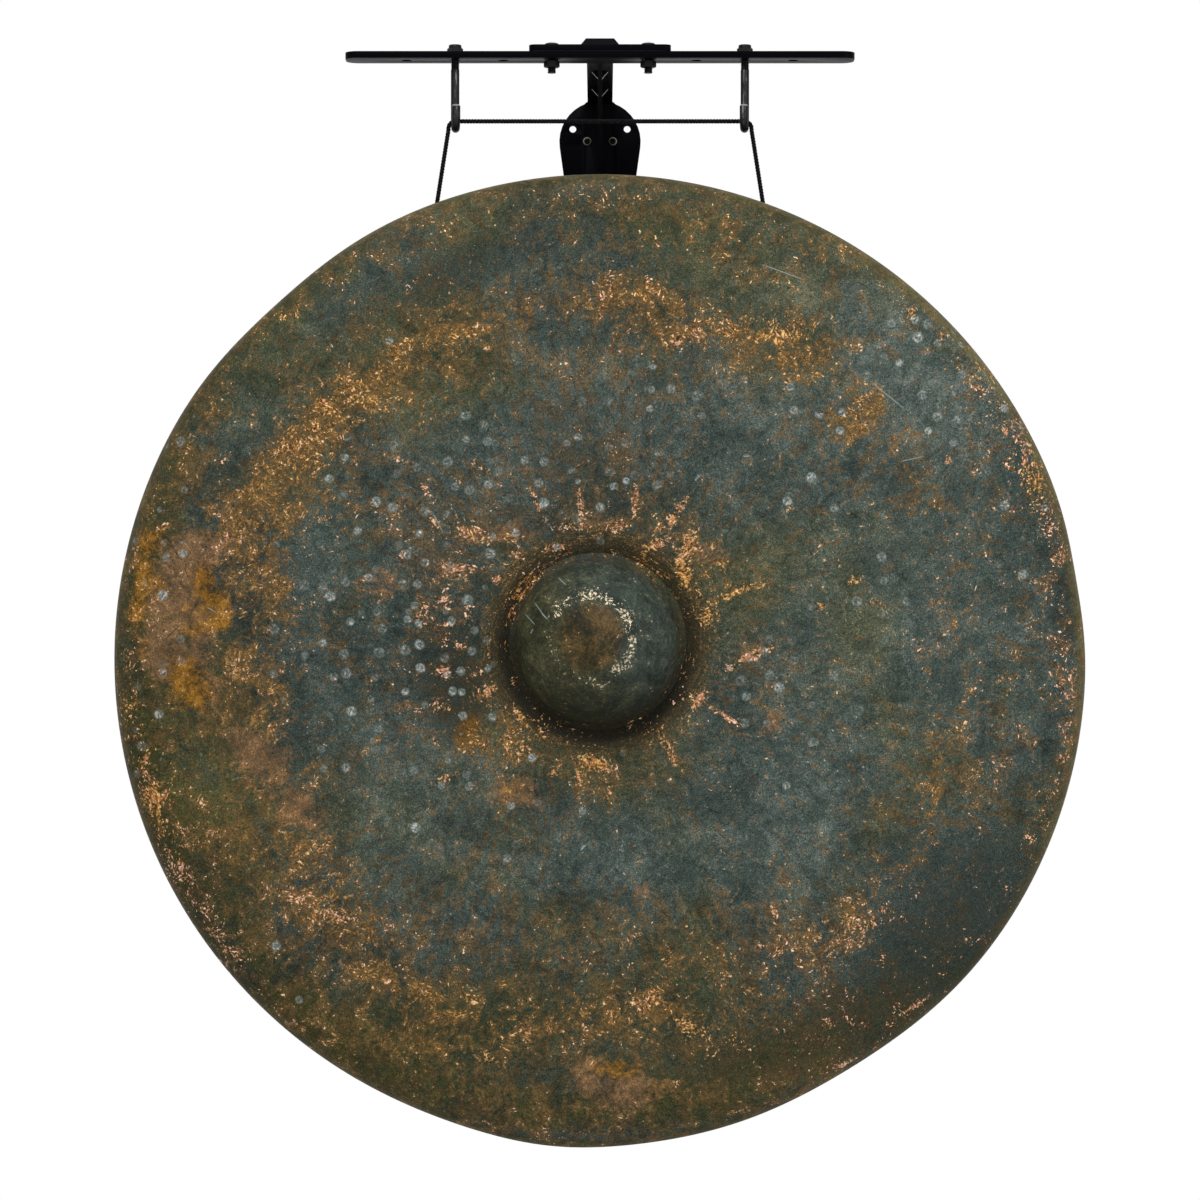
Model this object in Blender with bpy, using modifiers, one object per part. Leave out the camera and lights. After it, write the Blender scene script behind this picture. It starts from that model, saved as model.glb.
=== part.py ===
"""A bossed bronze gong, hung by a rope from a steel wall bracket with a crossbar and two hooks.

Metres, +Z up. The wall is the plane Y = 0 and the gong hangs in front of it, towards -Y.
The origin is on the wall, at the centre of the wall plate's round top.
"""

from math import asin, atan2, cos, exp, pi, radians, sin, sqrt, tan

import bmesh
import bpy
from mathutils import Matrix, Vector

# Clearances
SEAT_GAP = 0.0003            # between two faces that rest on each other
BORE_GAP = 0.0003            # round a shank in its nut or tapped hole
ROPE_GAP = 0.0005            # under the rope where it lies on a hook, and above a knot
ROPE_END_GAP = 0.0009        # from the rope's end to its knot

# Gong: a shell turned about its own axis, its face towards local +Z
GONG_RADIUS = 0.457
GONG_WALL = 0.003
RIM_DEPTH = 0.120            # from the face to the rim's edge
RIM_TAPER = radians(11)      # the rim draws in towards its edge
SHOULDER_RADIUS = 0.032
RIDGE_RADIUS = 0.335         # the face is highest on this circle
RIDGE_HEIGHT = 0.006
BAND_SLOPE = radians(10)     # where the band outside the ridge meets the shoulder
BOSS_RADIUS = 0.077
BOSS_HEIGHT = 0.066          # from the bottom of the groove round it
BOSS_SWEEP = radians(84)     # how much of a half ellipse its side is
GROOVE_WIDTH = 0.022
GROOVE_DEPTH = 0.006
BOSS_SHIFT_X = -0.0024       # the boss is beaten out off centre
BOSS_SHIFT_UP = 0.0208
RIM_HOLE_RADIUS = 0.0045
RIM_HOLE_ANGLE = radians(19.8)   # each side of straight up
RIM_HOLE_DEPTH = 0.042       # behind the face
GONG_STEPS = 64

# Where hammering left the outline out of round: direction, width and height of each lobe
BEATEN_LOBES = (
    (radians(264), radians(10), 0.0042),
    (radians(302), radians(14), -0.0056),
    (radians(132), radians(11), -0.0046),
    (radians(10), radians(7), -0.0026),
)

# Crossbar
BAR_LENGTH = 0.478
BAR_WIDTH = 0.038
BAR_THICKNESS = 0.0063
BAR_CORNER = 0.012
BAR_HEIGHT = 0.0412          # its underside above the origin
BAR_REACH = 0.286            # its centre line in front of the wall
HOLE_PITCH = 0.0454
BAR_HOLE_RADIUS = 0.00475
HOLES_PER_SIDE = 4
BOLT_HOLE = 1                # counted from the middle
HOOK_HOLE = 3

# Bracket arm: head plate, raised pad, flange, web, stiffeners and foot in one casting
HEAD_LENGTH = 0.133
HEAD_THICKNESS = 0.006
HEAD_CORNER = 0.007
ARM_WIDTH = 0.025
ARM_FILLET = 0.008           # in plan, where the arm leaves the head
FLANGE_THICKNESS = 0.005
FLANGE_DROP = 0.0109         # from the head down to the wall
WEB_THICKNESS = 0.004
WEB_DEPTH = 0.128            # under the flange, at the foot
WEB_HOLLOW = 0.030           # how far its lower edge curves in
PAD_WIDTH = 0.036
PAD_TOP_WIDTH = 0.0264
PAD_LENGTH = 0.034
PAD_HEIGHT = 0.0065
STIFFENER_WIDTH = 0.016
STIFFENER_HEIGHT = 0.008
STIFFENER_THICKNESS = 0.004
STIFFENERS_BEHIND_HEAD = (0.083, 0.176)
FOOT_WIDTH = 0.038
FOOT_THICKNESS = 0.005
FOOT_CORNER = 0.012
FOOT_TOP = 0.041             # above the origin
FOOT_LENGTH = 0.141

# Wall plate
PLATE_THICKNESS = 0.005
PLATE_TOP_RADIUS = 0.041
PLATE_BOTTOM_RADIUS = 0.026
PLATE_CENTRES = 0.109        # between the centres of its two round ends
WALL_HOLE_RADIUS = 0.0035
WALL_HOLE_X = 0.0274
WALL_HOLE_UP = 0.0127
LOW_WALL_HOLE_BELOW_FOOT = 0.016

# Screws, bolts and nuts
FOOT_SCREW_RADIUS = 0.0025
FOOT_SCREW_HEAD_RADIUS = 0.0042
FOOT_SCREW_HEAD = 0.0028
FOOT_SCREW_X = 0.0129
FOOT_SCREW_UP = -0.0005
FOOT_SCREW_SPACING = 0.080
BOLT_RADIUS = 0.004
BOLT_LENGTH = 0.025
BOLT_HEAD_RADIUS = 0.007
BOLT_HEAD = 0.0044
SOCKET_SHARE = 0.36          # of a head's radius
SOCKET_DEPTH_SHARE = 0.6     # of a head's height
HEAD_RIM_SHARE = 0.35        # of a head's height, straight below its dome
NUT_WIDTH = 0.013
NUT_HEIGHT = 0.0065
LOCK_NUT_HEX = 0.005         # height of the lock nut's hexagon, below its collar
LOCK_NUT_HEIGHT = 0.008
COLLAR_RADIUS = 0.0061
COLLAR_WALL = 0.0006

# Hooks
HOOK_ROD_RADIUS = 0.004
HOOK_BEND_RADIUS = 0.012
HOOK_DROP = 0.0654           # from the bar's underside to the rod's lowest centre line
HOOK_TIP_RISE = 0.0089       # above the centre of the bend
HOOK_TURN = radians(4)       # each tip points a little inwards
HOOK_END_ABOVE_NUT = 0.0015
ROD_CHAMFER = 0.0012

# Rope and knots
ROPE_RADIUS = 0.0022
ROPE_END_TAPER = 0.0015      # the rope's whipped ends narrow over this length
ROPE_END_SHARE = 0.6         # to this share of its radius
ROPE_DROP = 0.0731           # from the rod's centre line in the hook down to the rim holes
KNOT_RADIUS = 0.0066
KNOT_WRAPS = 3
KNOT_TAIL = 0.010


def rounded_rectangle(width, height, radius, steps=5):
    """Its points, anticlockwise, centred on the origin."""
    points = []
    for quarter, (side_x, side_y) in enumerate(((1, 1), (-1, 1), (-1, -1), (1, -1))):
        centre = Vector((side_x * (width / 2 - radius), side_y * (height / 2 - radius)))
        points += arc(centre, radius, quarter * pi / 2, (quarter + 1) * pi / 2, steps)
    return points


def arc(centre, radius, start, end, steps):
    angles = [start + (end - start) * step / steps for step in range(steps + 1)]
    return [Vector(centre) + radius * Vector((cos(angle), sin(angle))) for angle in angles]


def circle(x, y, radius, sides=16):
    """A hole's points, clockwise so that it is cut from the outline round it."""
    return arc((x, y), radius, 0, -2 * pi * (1 - 1 / sides), sides - 1)


def ease(share):
    share = min(1, max(0, share))
    return share * share * (3 - 2 * share)


# Heights and depths that follow from the sizes above
bar_top = BAR_HEIGHT + BAR_THICKNESS
head_bottom = bar_top + SEAT_GAP
head_top = head_bottom + HEAD_THICKNESS
bar_rear = -BAR_REACH + BAR_WIDTH / 2
hook_x = HOOK_HOLE * HOLE_PITCH
bolt_x = BOLT_HOLE * HOLE_PITCH
plate_front = -PLATE_THICKNESS
foot_rear = plate_front - SEAT_GAP
foot_front = foot_rear - FOOT_THICKNESS
bend_y = -BAR_REACH - HOOK_BEND_RADIUS * cos(HOOK_TURN)
rod_low = BAR_HEIGHT - HOOK_DROP
seat_x = hook_x - HOOK_BEND_RADIUS * sin(HOOK_TURN)
rope_wrap_radius = HOOK_ROD_RADIUS + ROPE_GAP + ROPE_RADIUS
rope_height = rod_low + rope_wrap_radius


def gong_profile():
    """The outer side of the shell, as (radius, height) from the boss to the rim's edge."""
    base = -GROOVE_DEPTH
    points = [(0, base + BOSS_HEIGHT)]
    for step in range(1, 8):
        angle = BOSS_SWEEP * step / 7
        points.append((BOSS_RADIUS * sin(angle), base + BOSS_HEIGHT * cos(angle)))
    for share in (0.2, 0.45, 0.72, 1):
        points.append((BOSS_RADIUS + GROOVE_WIDTH * share, base * cos(pi / 2 * share) ** 2))
    start = BOSS_RADIUS + GROOVE_WIDTH
    for share in (0.25, 0.5, 0.75, 1):
        points.append((start + (RIDGE_RADIUS - start) * share, RIDGE_HEIGHT * ease(share)))
    shoulder_x = GONG_RADIUS - SHOULDER_RADIUS
    band_end = shoulder_x + SHOULDER_RADIUS * sin(BAND_SLOPE)
    band = band_end - RIDGE_RADIUS
    for share in (0.35, 0.7, 1):
        fall = tan(BAND_SLOPE) * band * share**2 / 2
        points.append((RIDGE_RADIUS + band * share, RIDGE_HEIGHT - fall))
    shoulder = (shoulder_x, points[-1][1] - SHOULDER_RADIUS * cos(BAND_SLOPE))
    points += arc(shoulder, SHOULDER_RADIUS, pi / 2 - BAND_SLOPE, -RIM_TAPER, 6)[1:]
    rim_start = -points[-1][1]
    points += [(rim_radius(depth), -depth) for depth in ((RIM_DEPTH + rim_start) / 2, RIM_DEPTH)]
    return [tuple(point) for point in points]


def shoulder_centre_depth():
    """How far behind the face the gong is widest."""
    band = GONG_RADIUS - SHOULDER_RADIUS * (1 - sin(BAND_SLOPE)) - RIDGE_RADIUS
    return tan(BAND_SLOPE) * band / 2 - RIDGE_HEIGHT + SHOULDER_RADIUS * cos(BAND_SLOPE)


def rim_radius(depth):
    """Outer radius of the tapered rim at this depth behind the face."""
    end_depth = shoulder_centre_depth() + SHOULDER_RADIUS * sin(RIM_TAPER)
    end_radius = GONG_RADIUS - SHOULDER_RADIUS * (1 - cos(RIM_TAPER))
    return end_radius - (depth - end_depth) * tan(RIM_TAPER)


def hanging_tilt():
    """The angle at which the shell's centre of mass hangs straight below the rim holes."""
    area = moment = 0
    profile = gong_profile()
    for (r0, z0), (r1, z1) in zip(profile, profile[1:]):
        length = sqrt((r1 - r0) ** 2 + (z1 - z0) ** 2)
        inward_r, inward_z = (z1 - z0) / length, -(r1 - r0) / length
        middle_r = (r0 + r1) / 2 + inward_r * GONG_WALL / 2
        middle_z = (z0 + z1) / 2 + inward_z * GONG_WALL / 2
        area += middle_r * length
        moment += middle_r * length * middle_z
    return atan2(moment / area + RIM_HOLE_DEPTH, hole_rise)


def facet_share(angle):
    """The shell's radius in this direction as a share of its radius at a facet's corner."""
    half = pi / GONG_STEPS
    return cos(half) / cos((pi / 2 - angle) % (2 * half) - half)


hole_radius_from_axis = rim_radius(RIM_HOLE_DEPTH) * facet_share(RIM_HOLE_ANGLE) - GONG_WALL / 2
hole_rise = hole_radius_from_axis * cos(RIM_HOLE_ANGLE)
hole_x = hole_radius_from_axis * sin(RIM_HOLE_ANGLE)
gong_tilt = hanging_tilt()
hole_height = rod_low - ROPE_DROP
gong_facing = Matrix.Rotation(pi / 2 + gong_tilt, 4, "X")
gong_centre = Vector((0, bend_y, hole_height)) - gong_facing @ Vector((0, hole_rise, -RIM_HOLE_DEPTH))

FACING_FRONT = (pi / 2, 0, 0)        # local Y is up and local Z points away from the wall
FACING_SIDE = (pi / 2, 0, pi / 2)    # local X points to the wall, local Y is up


def clear_scene():
    for thing in list(bpy.data.objects):
        bpy.data.objects.remove(thing)


def make_collections():
    for name in ("gong_with_wall_bracket", "cutters"):
        collection = bpy.data.collections.get(name) or bpy.data.collections.new(name)
        if name not in bpy.context.scene.collection.children:
            bpy.context.scene.collection.children.link(collection)
    bpy.data.collections["cutters"].hide_render = True


def make_materials():
    looks = {
        "powder_coat": ((0.022, 0.023, 0.025), 0.45, 0.0),
        "black_zinc": ((0.030, 0.030, 0.032), 0.35, 0.8),
        "bright_zinc": ((0.55, 0.56, 0.58), 0.30, 1.0),
        "nylon": ((0.70, 0.70, 0.66), 0.50, 0.0),
        "bronze": ((0.095, 0.093, 0.075), 0.42, 0.9),
        "black_rope": ((0.018, 0.018, 0.020), 0.85, 0.0),
    }
    for name, (colour, roughness, metallic) in looks.items():
        material = bpy.data.materials.new(name)
        material.use_nodes = True
        shader = material.node_tree.nodes["Principled BSDF"]
        shader.inputs["Base Color"].default_value = (*colour, 1)
        shader.inputs["Roughness"].default_value = roughness
        shader.inputs["Metallic"].default_value = metallic


def finish(piece, material, parent=None):
    """Puts a piece in the gong's collection, with its material."""
    for collection in list(piece.users_collection):
        collection.objects.unlink(piece)
    bpy.data.collections["gong_with_wall_bracket"].objects.link(piece)
    piece.data.materials.clear()
    piece.data.materials.append(bpy.data.materials[material])
    piece.parent = parent
    return piece


def smooth(piece, angle=radians(35)):
    piece.data.shade_smooth()
    piece.data.set_sharp_from_angle(angle=angle)


def as_cutter(thing):
    for collection in list(thing.users_collection):
        collection.objects.unlink(thing)
    bpy.data.collections["cutters"].objects.link(thing)
    thing.hide_render = True
    thing.display_type = "WIRE"
    return thing


def plate(name, outline, thickness, holes=(), location=(0, 0, 0), rotation=(0, 0, 0)):
    """A flat outline with its holes, given a thickness centred on its plane."""
    curve = bpy.data.curves.new(name, "CURVE")
    curve.dimensions = "2D"
    curve.fill_mode = "BOTH"
    curve.extrude = thickness / 2
    for points in (outline, *holes):
        spline = curve.splines.new("POLY")
        spline.points.add(len(points) - 1)
        spline.use_cyclic_u = True
        for point, (x, y) in zip(spline.points, points):
            point.co = (x, y, 0, 1)
    piece = bpy.data.objects.new(name, curve)
    piece.location = location
    piece.rotation_euler = rotation
    bpy.context.scene.collection.objects.link(piece)
    return piece


def as_mesh(thing):
    """A curve or a piece with modifiers, made a plain mesh with its caps welded on."""
    bpy.context.view_layer.update()
    evaluated = thing.evaluated_get(bpy.context.evaluated_depsgraph_get())
    mesh = bpy.data.meshes.new_from_object(evaluated)
    shape = bmesh.new()
    shape.from_mesh(mesh)
    bmesh.ops.remove_doubles(shape, verts=shape.verts, dist=1e-6)
    shape.to_mesh(mesh)
    shape.free()
    name, matrix = thing.name, thing.matrix_world.copy()
    bpy.data.objects.remove(thing)
    piece = bpy.data.objects.new(name, mesh)
    piece.matrix_world = matrix
    bpy.context.scene.collection.objects.link(piece)
    return piece


def combine(piece, other, operation):
    modifier = piece.modifiers.new(f"{operation.lower()} {other.name}", "BOOLEAN")
    modifier.operation = operation
    modifier.solver = "EXACT"
    modifier.object = as_cutter(other)


def turned(name, profile, steps, location=(0, 0, 0), rotation=(0, 0, 0)):
    """A profile of (radius, height), top to bottom, swept round local Z."""
    mesh = bpy.data.meshes.new(name)
    points = [(r, 0, z) for r, z in profile]
    mesh.from_pydata(points, [(i, i + 1) for i in range(len(points) - 1)], [])
    piece = bpy.data.objects.new(name, mesh)
    screw = piece.modifiers.new("turn", "SCREW")
    screw.steps = screw.render_steps = steps
    screw.use_merge_vertices = True
    screw.merge_threshold = 0.00001
    piece.location = location
    piece.rotation_euler = rotation
    bpy.context.scene.collection.objects.link(piece)
    return piece


def tube(name, points, radius, bevel_resolution, radii=None):
    curve = bpy.data.curves.new(name, "CURVE")
    curve.dimensions = "3D"
    curve.bevel_depth = radius
    curve.bevel_resolution = bevel_resolution
    curve.use_fill_caps = True
    spline = curve.splines.new("POLY")
    spline.points.add(len(points) - 1)
    for index, (point, place) in enumerate(zip(spline.points, points)):
        point.co = (*place, 1)
        point.radius = radii[index] if radii else 1
    piece = bpy.data.objects.new(name, curve)
    bpy.context.scene.collection.objects.link(piece)
    return piece


def make_wall_plate():
    lean = asin((PLATE_TOP_RADIUS - PLATE_BOTTOM_RADIUS) / PLATE_CENTRES)
    outline = arc((0, 0), PLATE_TOP_RADIUS, -lean, pi + lean, 20)
    outline += arc((0, -PLATE_CENTRES), PLATE_BOTTOM_RADIUS, pi + lean, 2 * pi - lean, 12)
    holes = [circle(side * WALL_HOLE_X, WALL_HOLE_UP, WALL_HOLE_RADIUS) for side in (-1, 1)]
    low_hole = FOOT_TOP - FOOT_LENGTH - LOW_WALL_HOLE_BELOW_FOOT
    holes.append(circle(0, low_hole, WALL_HOLE_RADIUS))
    holes += [circle(x, up, FOOT_SCREW_RADIUS + BORE_GAP) for x, up in foot_screw_places()]
    middle = (0, plate_front / 2, 0)
    piece = plate("wall_plate", outline, PLATE_THICKNESS, holes, middle, FACING_FRONT)
    finish(piece, "powder_coat")


def foot_screw_places():
    heights = (FOOT_SCREW_UP, FOOT_SCREW_UP - FOOT_SCREW_SPACING)
    return [(side * FOOT_SCREW_X, up) for up in heights for side in (-1, 1)]


def screw_profile(radius, length, head_radius, head_height):
    """A domed socket head, its underside at height 0, and a shank with a chamfered end."""
    socket = SOCKET_SHARE * head_radius
    floor = (1 - SOCKET_DEPTH_SHARE) * head_height
    rim = HEAD_RIM_SHARE * head_height
    dome = head_height - rim
    chamfer = 0.2 * radius
    return [
        (0, floor),
        (socket, floor),
        (socket, rim + dome * sqrt(1 - SOCKET_SHARE**2)),
        *[(head_radius * cos(angle), rim + dome * sin(angle)) for angle in (0.75, 0.4, 0)],
        (head_radius, 0),
        (radius, 0),
        (radius, chamfer - length),
        (radius - chamfer, -length),
        (0, -length),
    ]


def make_foot_screws():
    length = FOOT_THICKNESS + PLATE_THICKNESS
    profile = screw_profile(FOOT_SCREW_RADIUS, length, FOOT_SCREW_HEAD_RADIUS, FOOT_SCREW_HEAD)
    names = [f"foot_screw_{row}_{side}" for row in ("upper", "lower") for side in ("left", "right")]
    for name, (x, up) in zip(names, foot_screw_places()):
        place = (x, foot_front - SEAT_GAP, up)
        piece = turned(name, profile, 16, place, FACING_FRONT)
        finish(piece, "bright_zinc")


def head_outline():
    """The head in plan, with a short root of the arm filleted to its rear edge."""
    half, depth, arm = HEAD_LENGTH / 2, BAR_WIDTH / 2, ARM_WIDTH / 2
    root = depth + ARM_FILLET + 0.002
    outline = arc((half - HEAD_CORNER, -depth + HEAD_CORNER), HEAD_CORNER, -pi / 2, 0, 4)
    outline += arc((half - HEAD_CORNER, depth - HEAD_CORNER), HEAD_CORNER, 0, pi / 2, 4)
    outline += arc((arm + ARM_FILLET, depth + ARM_FILLET), ARM_FILLET, 3 * pi / 2, pi, 4)
    outline.append(Vector((arm, root)))
    return outline + [Vector((-x, y)) for x, y in reversed(outline)]


def flange_middle(y):
    """Height of the flange's middle plane at this place along the arm."""
    root = bar_rear + ARM_FILLET
    return (head_bottom + head_top) / 2 - FLANGE_DROP * (y - root) / (foot_rear - root)


def make_flange():
    half = FLANGE_THICKNESS / 2
    front, root, rear = bar_rear, bar_rear + ARM_FILLET, foot_rear - 0.001
    line = [(front, flange_middle(root)), (root, flange_middle(root)), (rear, flange_middle(rear))]
    outline = [(y, z - half) for y, z in line] + [(y, z + half) for y, z in reversed(line)]
    return plate("arm flange", outline, ARM_WIDTH, rotation=FACING_SIDE)


def make_web():
    """Deep at the foot, running out under the head, with a hollow lower edge."""
    front, rear = bar_rear + ARM_FILLET, foot_front + 0.001
    bottom = flange_middle(rear) - WEB_DEPTH
    start, end = Vector((rear, bottom)), Vector((front, flange_middle(front) - FLANGE_THICKNESS / 2))
    across = (end - start).orthogonal().normalized()
    outline = []
    for step in range(9):
        share = step / 8
        outline.append(start.lerp(end, share) - across * WEB_HOLLOW * sin(pi * share))
    outline += [Vector((front, flange_middle(front))), Vector((rear, flange_middle(rear)))]
    return plate("arm web", outline, WEB_THICKNESS, rotation=FACING_SIDE)


def make_stiffener(index, behind):
    """A small gusset between the flange and both sides of the web."""
    y = bar_rear + behind
    top = flange_middle(y)
    bottom = top - FLANGE_THICKNESS / 2 - STIFFENER_HEIGHT
    half, tip = STIFFENER_WIDTH / 2, WEB_THICKNESS / 4
    under = top - FLANGE_THICKNESS / 2
    outline = [(-tip, bottom), (tip, bottom), (half, under), (half, top), (-half, top), (-half, under)]
    name = f"stiffener {index}"
    return plate(name, outline, STIFFENER_THICKNESS, location=(0, y, 0), rotation=FACING_FRONT)


def make_foot():
    middle = FOOT_TOP - FOOT_LENGTH / 2
    outline = [(x, y + middle) for x, y in rounded_rectangle(FOOT_WIDTH, FOOT_LENGTH, FOOT_CORNER)]
    holes = [circle(x, up, FOOT_SCREW_RADIUS + BORE_GAP) for x, up in foot_screw_places()]
    place = (0, (foot_front + foot_rear) / 2, 0)
    return plate("arm foot", outline, FOOT_THICKNESS, holes, place, FACING_FRONT)


def make_pad():
    """The raised pad on the head, drawn in towards its top."""
    sunk = HEAD_THICKNESS / 2
    shape = bmesh.new()
    bmesh.ops.create_cube(shape, size=1)
    for vert in shape.verts:
        high = vert.co.z > 0
        width = PAD_TOP_WIDTH if high else PAD_WIDTH
        inset = PAD_WIDTH - width
        vert.co = (vert.co.x * width, vert.co.y * (PAD_LENGTH - inset), PAD_HEIGHT if high else 0)
    below = bmesh.ops.extrude_discrete_faces(shape, faces=[f for f in shape.faces if f.normal.z < -0.9])
    bmesh.ops.translate(shape, verts=below["faces"][0].verts, vec=(0, 0, -sunk))
    mesh = bpy.data.meshes.new("head pad")
    bmesh.ops.recalc_face_normals(shape, faces=shape.faces)
    shape.to_mesh(mesh)
    shape.free()
    pad = bpy.data.objects.new("head pad", mesh)
    pad.location = (0, -BAR_REACH, head_top)
    bpy.context.scene.collection.objects.link(pad)
    return pad


def make_bracket_arm():
    holes = [circle(side * bolt_x, 0, BAR_HOLE_RADIUS) for side in (-1, 1)]
    place = (0, -BAR_REACH, (head_bottom + head_top) / 2)
    arm = as_mesh(plate("bracket_arm", head_outline(), HEAD_THICKNESS, holes, place))
    for other in (make_flange(), make_web(), make_foot()):
        combine(arm, as_mesh(other), "UNION")
    for index, behind in enumerate(STIFFENERS_BEHIND_HEAD):
        combine(arm, as_mesh(make_stiffener(index, behind)), "UNION")
    combine(arm, make_pad(), "UNION")
    finish(arm, "powder_coat")


def make_crossbar():
    outline = rounded_rectangle(BAR_LENGTH, BAR_WIDTH, BAR_CORNER)
    numbers = [n for n in range(-HOLES_PER_SIDE, HOLES_PER_SIDE + 1) if n]
    holes = [circle(n * HOLE_PITCH, 0, BAR_HOLE_RADIUS) for n in numbers]
    place = (0, -BAR_REACH, BAR_HEIGHT + BAR_THICKNESS / 2)
    bar = plate("crossbar", outline, BAR_THICKNESS, holes, place)
    finish(bar, "powder_coat")


def make_head_bolts():
    profile = screw_profile(BOLT_RADIUS, BOLT_LENGTH, BOLT_HEAD_RADIUS, BOLT_HEAD)
    for name, side in (("left", -1), ("right", 1)):
        place = (side * bolt_x, -BAR_REACH, head_top + SEAT_GAP)
        finish(turned(f"head_bolt_{name}", profile, 20, place), "black_zinc")
        nut_middle = BAR_HEIGHT - SEAT_GAP - NUT_HEIGHT / 2
        nut = hexagon_nut(f"head_nut_{name}", NUT_HEIGHT, BOLT_RADIUS + BORE_GAP)
        nut.location = (side * bolt_x, -BAR_REACH, nut_middle)
        finish(nut, "black_zinc")


def hexagon_nut(name, height, bore):
    corners = [Vector((cos(k * pi / 3), sin(k * pi / 3))) * NUT_WIDTH / sqrt(3) for k in range(6)]
    return plate(name, corners, height, [circle(0, 0, bore)])


def make_hook_nuts():
    """Lock nuts on top of the bar, each with a nylon ring held in its collar."""
    bore = HOOK_ROD_RADIUS + BORE_GAP
    inside, top = COLLAR_RADIUS - COLLAR_WALL, LOCK_NUT_HEIGHT
    collar = [
        (inside - COLLAR_WALL, top),
        (COLLAR_RADIUS - COLLAR_WALL, top),
        (COLLAR_RADIUS, top - 2 * COLLAR_WALL),
        (COLLAR_RADIUS, LOCK_NUT_HEX - COLLAR_WALL),
        (inside, LOCK_NUT_HEX - COLLAR_WALL),
        (inside, top - COLLAR_WALL),
        (inside - COLLAR_WALL, top - COLLAR_WALL),
        (inside - COLLAR_WALL, top),
    ]
    ring_top, ring_bottom = top - COLLAR_WALL - SEAT_GAP, LOCK_NUT_HEX + SEAT_GAP
    ring_radius = inside - BORE_GAP
    ring = [(bore, ring_top), (ring_radius, ring_top), (ring_radius, ring_bottom), (bore, ring_bottom)]
    ring.append(ring[0])
    for name, side in (("left", -1), ("right", 1)):
        place = Vector((side * hook_x, -BAR_REACH, bar_top + SEAT_GAP))
        nut = hexagon_nut(f"hook_nut_{name}", LOCK_NUT_HEX, bore)
        nut.location = place + Vector((0, 0, LOCK_NUT_HEX / 2))
        nut = as_mesh(nut)
        combine(nut, as_mesh(turned("collar", collar, 24, place)), "UNION")
        finish(nut, "bright_zinc")
        finish(turned(f"hook_nut_insert_{name}", ring, 24, place), "nylon")


def hook_points():
    """The rod's centre line from its top end, down, round the bend and up to the tip, in local YZ."""
    top = bar_top + SEAT_GAP + LOCK_NUT_HEIGHT + HOOK_END_ABOVE_NUT
    centre = Vector((-HOOK_BEND_RADIUS, rod_low + HOOK_BEND_RADIUS))
    bend = arc(centre, HOOK_BEND_RADIUS, 0, -pi, 12)
    tip = centre + Vector((-HOOK_BEND_RADIUS, HOOK_TIP_RISE))
    ends = [Vector((0, top)), Vector((0, top - ROD_CHAMFER))]
    return ends + bend + [tip - Vector((0, ROD_CHAMFER)), tip]


def make_hooks():
    points = [Vector((0, y, z)) for y, z in hook_points()]
    narrow = 1 - ROD_CHAMFER / HOOK_ROD_RADIUS
    radii = [narrow] + [1] * (len(points) - 2) + [narrow]
    for name, side in (("left", -1), ("right", 1)):
        hook = tube(f"hook_{name}", points, HOOK_ROD_RADIUS, 4, radii)
        hook.location = (side * hook_x, -BAR_REACH, 0)
        hook.rotation_euler.z = -side * HOOK_TURN
        finish(hook, "powder_coat")


def beat_out_of_true(mesh):
    """Moves the boss off centre and gives the turned shell its beaten outline."""
    groove_edge = BOSS_RADIUS + GROOVE_WIDTH
    for vert in mesh.vertices:
        radius = sqrt(vert.co.x**2 + vert.co.y**2)
        angle = atan2(vert.co.y, vert.co.x) % (2 * pi)
        share = 1 - ease((radius - groove_edge) / (RIDGE_RADIUS - groove_edge))
        growth = 0
        for direction, width, height in BEATEN_LOBES:
            away = (angle - direction + pi) % (2 * pi) - pi
            growth += height * exp(-((away / width) ** 2))
        swell = 1 + growth * radius**3 / GONG_RADIUS**4
        vert.co.x = vert.co.x * swell + share * BOSS_SHIFT_X
        vert.co.y = vert.co.y * swell + share * BOSS_SHIFT_UP


def make_gong(pivot):
    shell = as_mesh(turned("gong", gong_profile(), GONG_STEPS))
    beat_out_of_true(shell.data)
    wall = shell.modifiers.new("wall", "SOLIDIFY")
    wall.thickness = GONG_WALL
    wall.offset = -1
    wall.use_even_offset = True
    finish(shell, "bronze", pivot)
    shell.matrix_basis = Matrix.Translation(gong_centre - pivot.matrix_world.translation) @ gong_facing
    for side in (-1, 1):
        drill = drill_for_rim_hole(side)
        drill.parent = shell
        combine(shell, drill, "DIFFERENCE")
    smooth(shell)


def drill_for_rim_hole(side):
    bpy.ops.mesh.primitive_cylinder_add(vertices=16, radius=RIM_HOLE_RADIUS, depth=8 * GONG_WALL)
    drill = bpy.context.object
    drill.name = "rim drill"
    turn = Matrix.Rotation(-side * RIM_HOLE_ANGLE, 4, "Z")
    place = Matrix.Translation((0, hole_radius_from_axis, -RIM_HOLE_DEPTH))
    drill.matrix_basis = turn @ place @ Matrix.Rotation(pi / 2, 4, "X")
    return drill


def rope_route():
    """Half the rope's route, from the middle of the run between the hooks to a rim hole."""
    end_x, end_z = rope_end()
    lean = atan2(end_x - seat_x - rope_wrap_radius, rod_low - end_z)
    run = [Vector((seat_x * share, bend_y, rope_height)) for share in (0, 0.25, 0.5, 0.75, 0.9)]
    wrap = []
    for step in range(6):
        angle = pi / 2 - (pi / 2 + lean) * step / 5
        out, up = rope_wrap_radius * cos(angle), rope_wrap_radius * sin(angle)
        wrap.append(Vector((seat_x + out, bend_y, rod_low + up)))
    end = Vector((end_x, bend_y, end_z))
    drop = [wrap[-1].lerp(end, share) for share in (0.15, 0.4, 0.7, 1)]
    return run + wrap + drop


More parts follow.
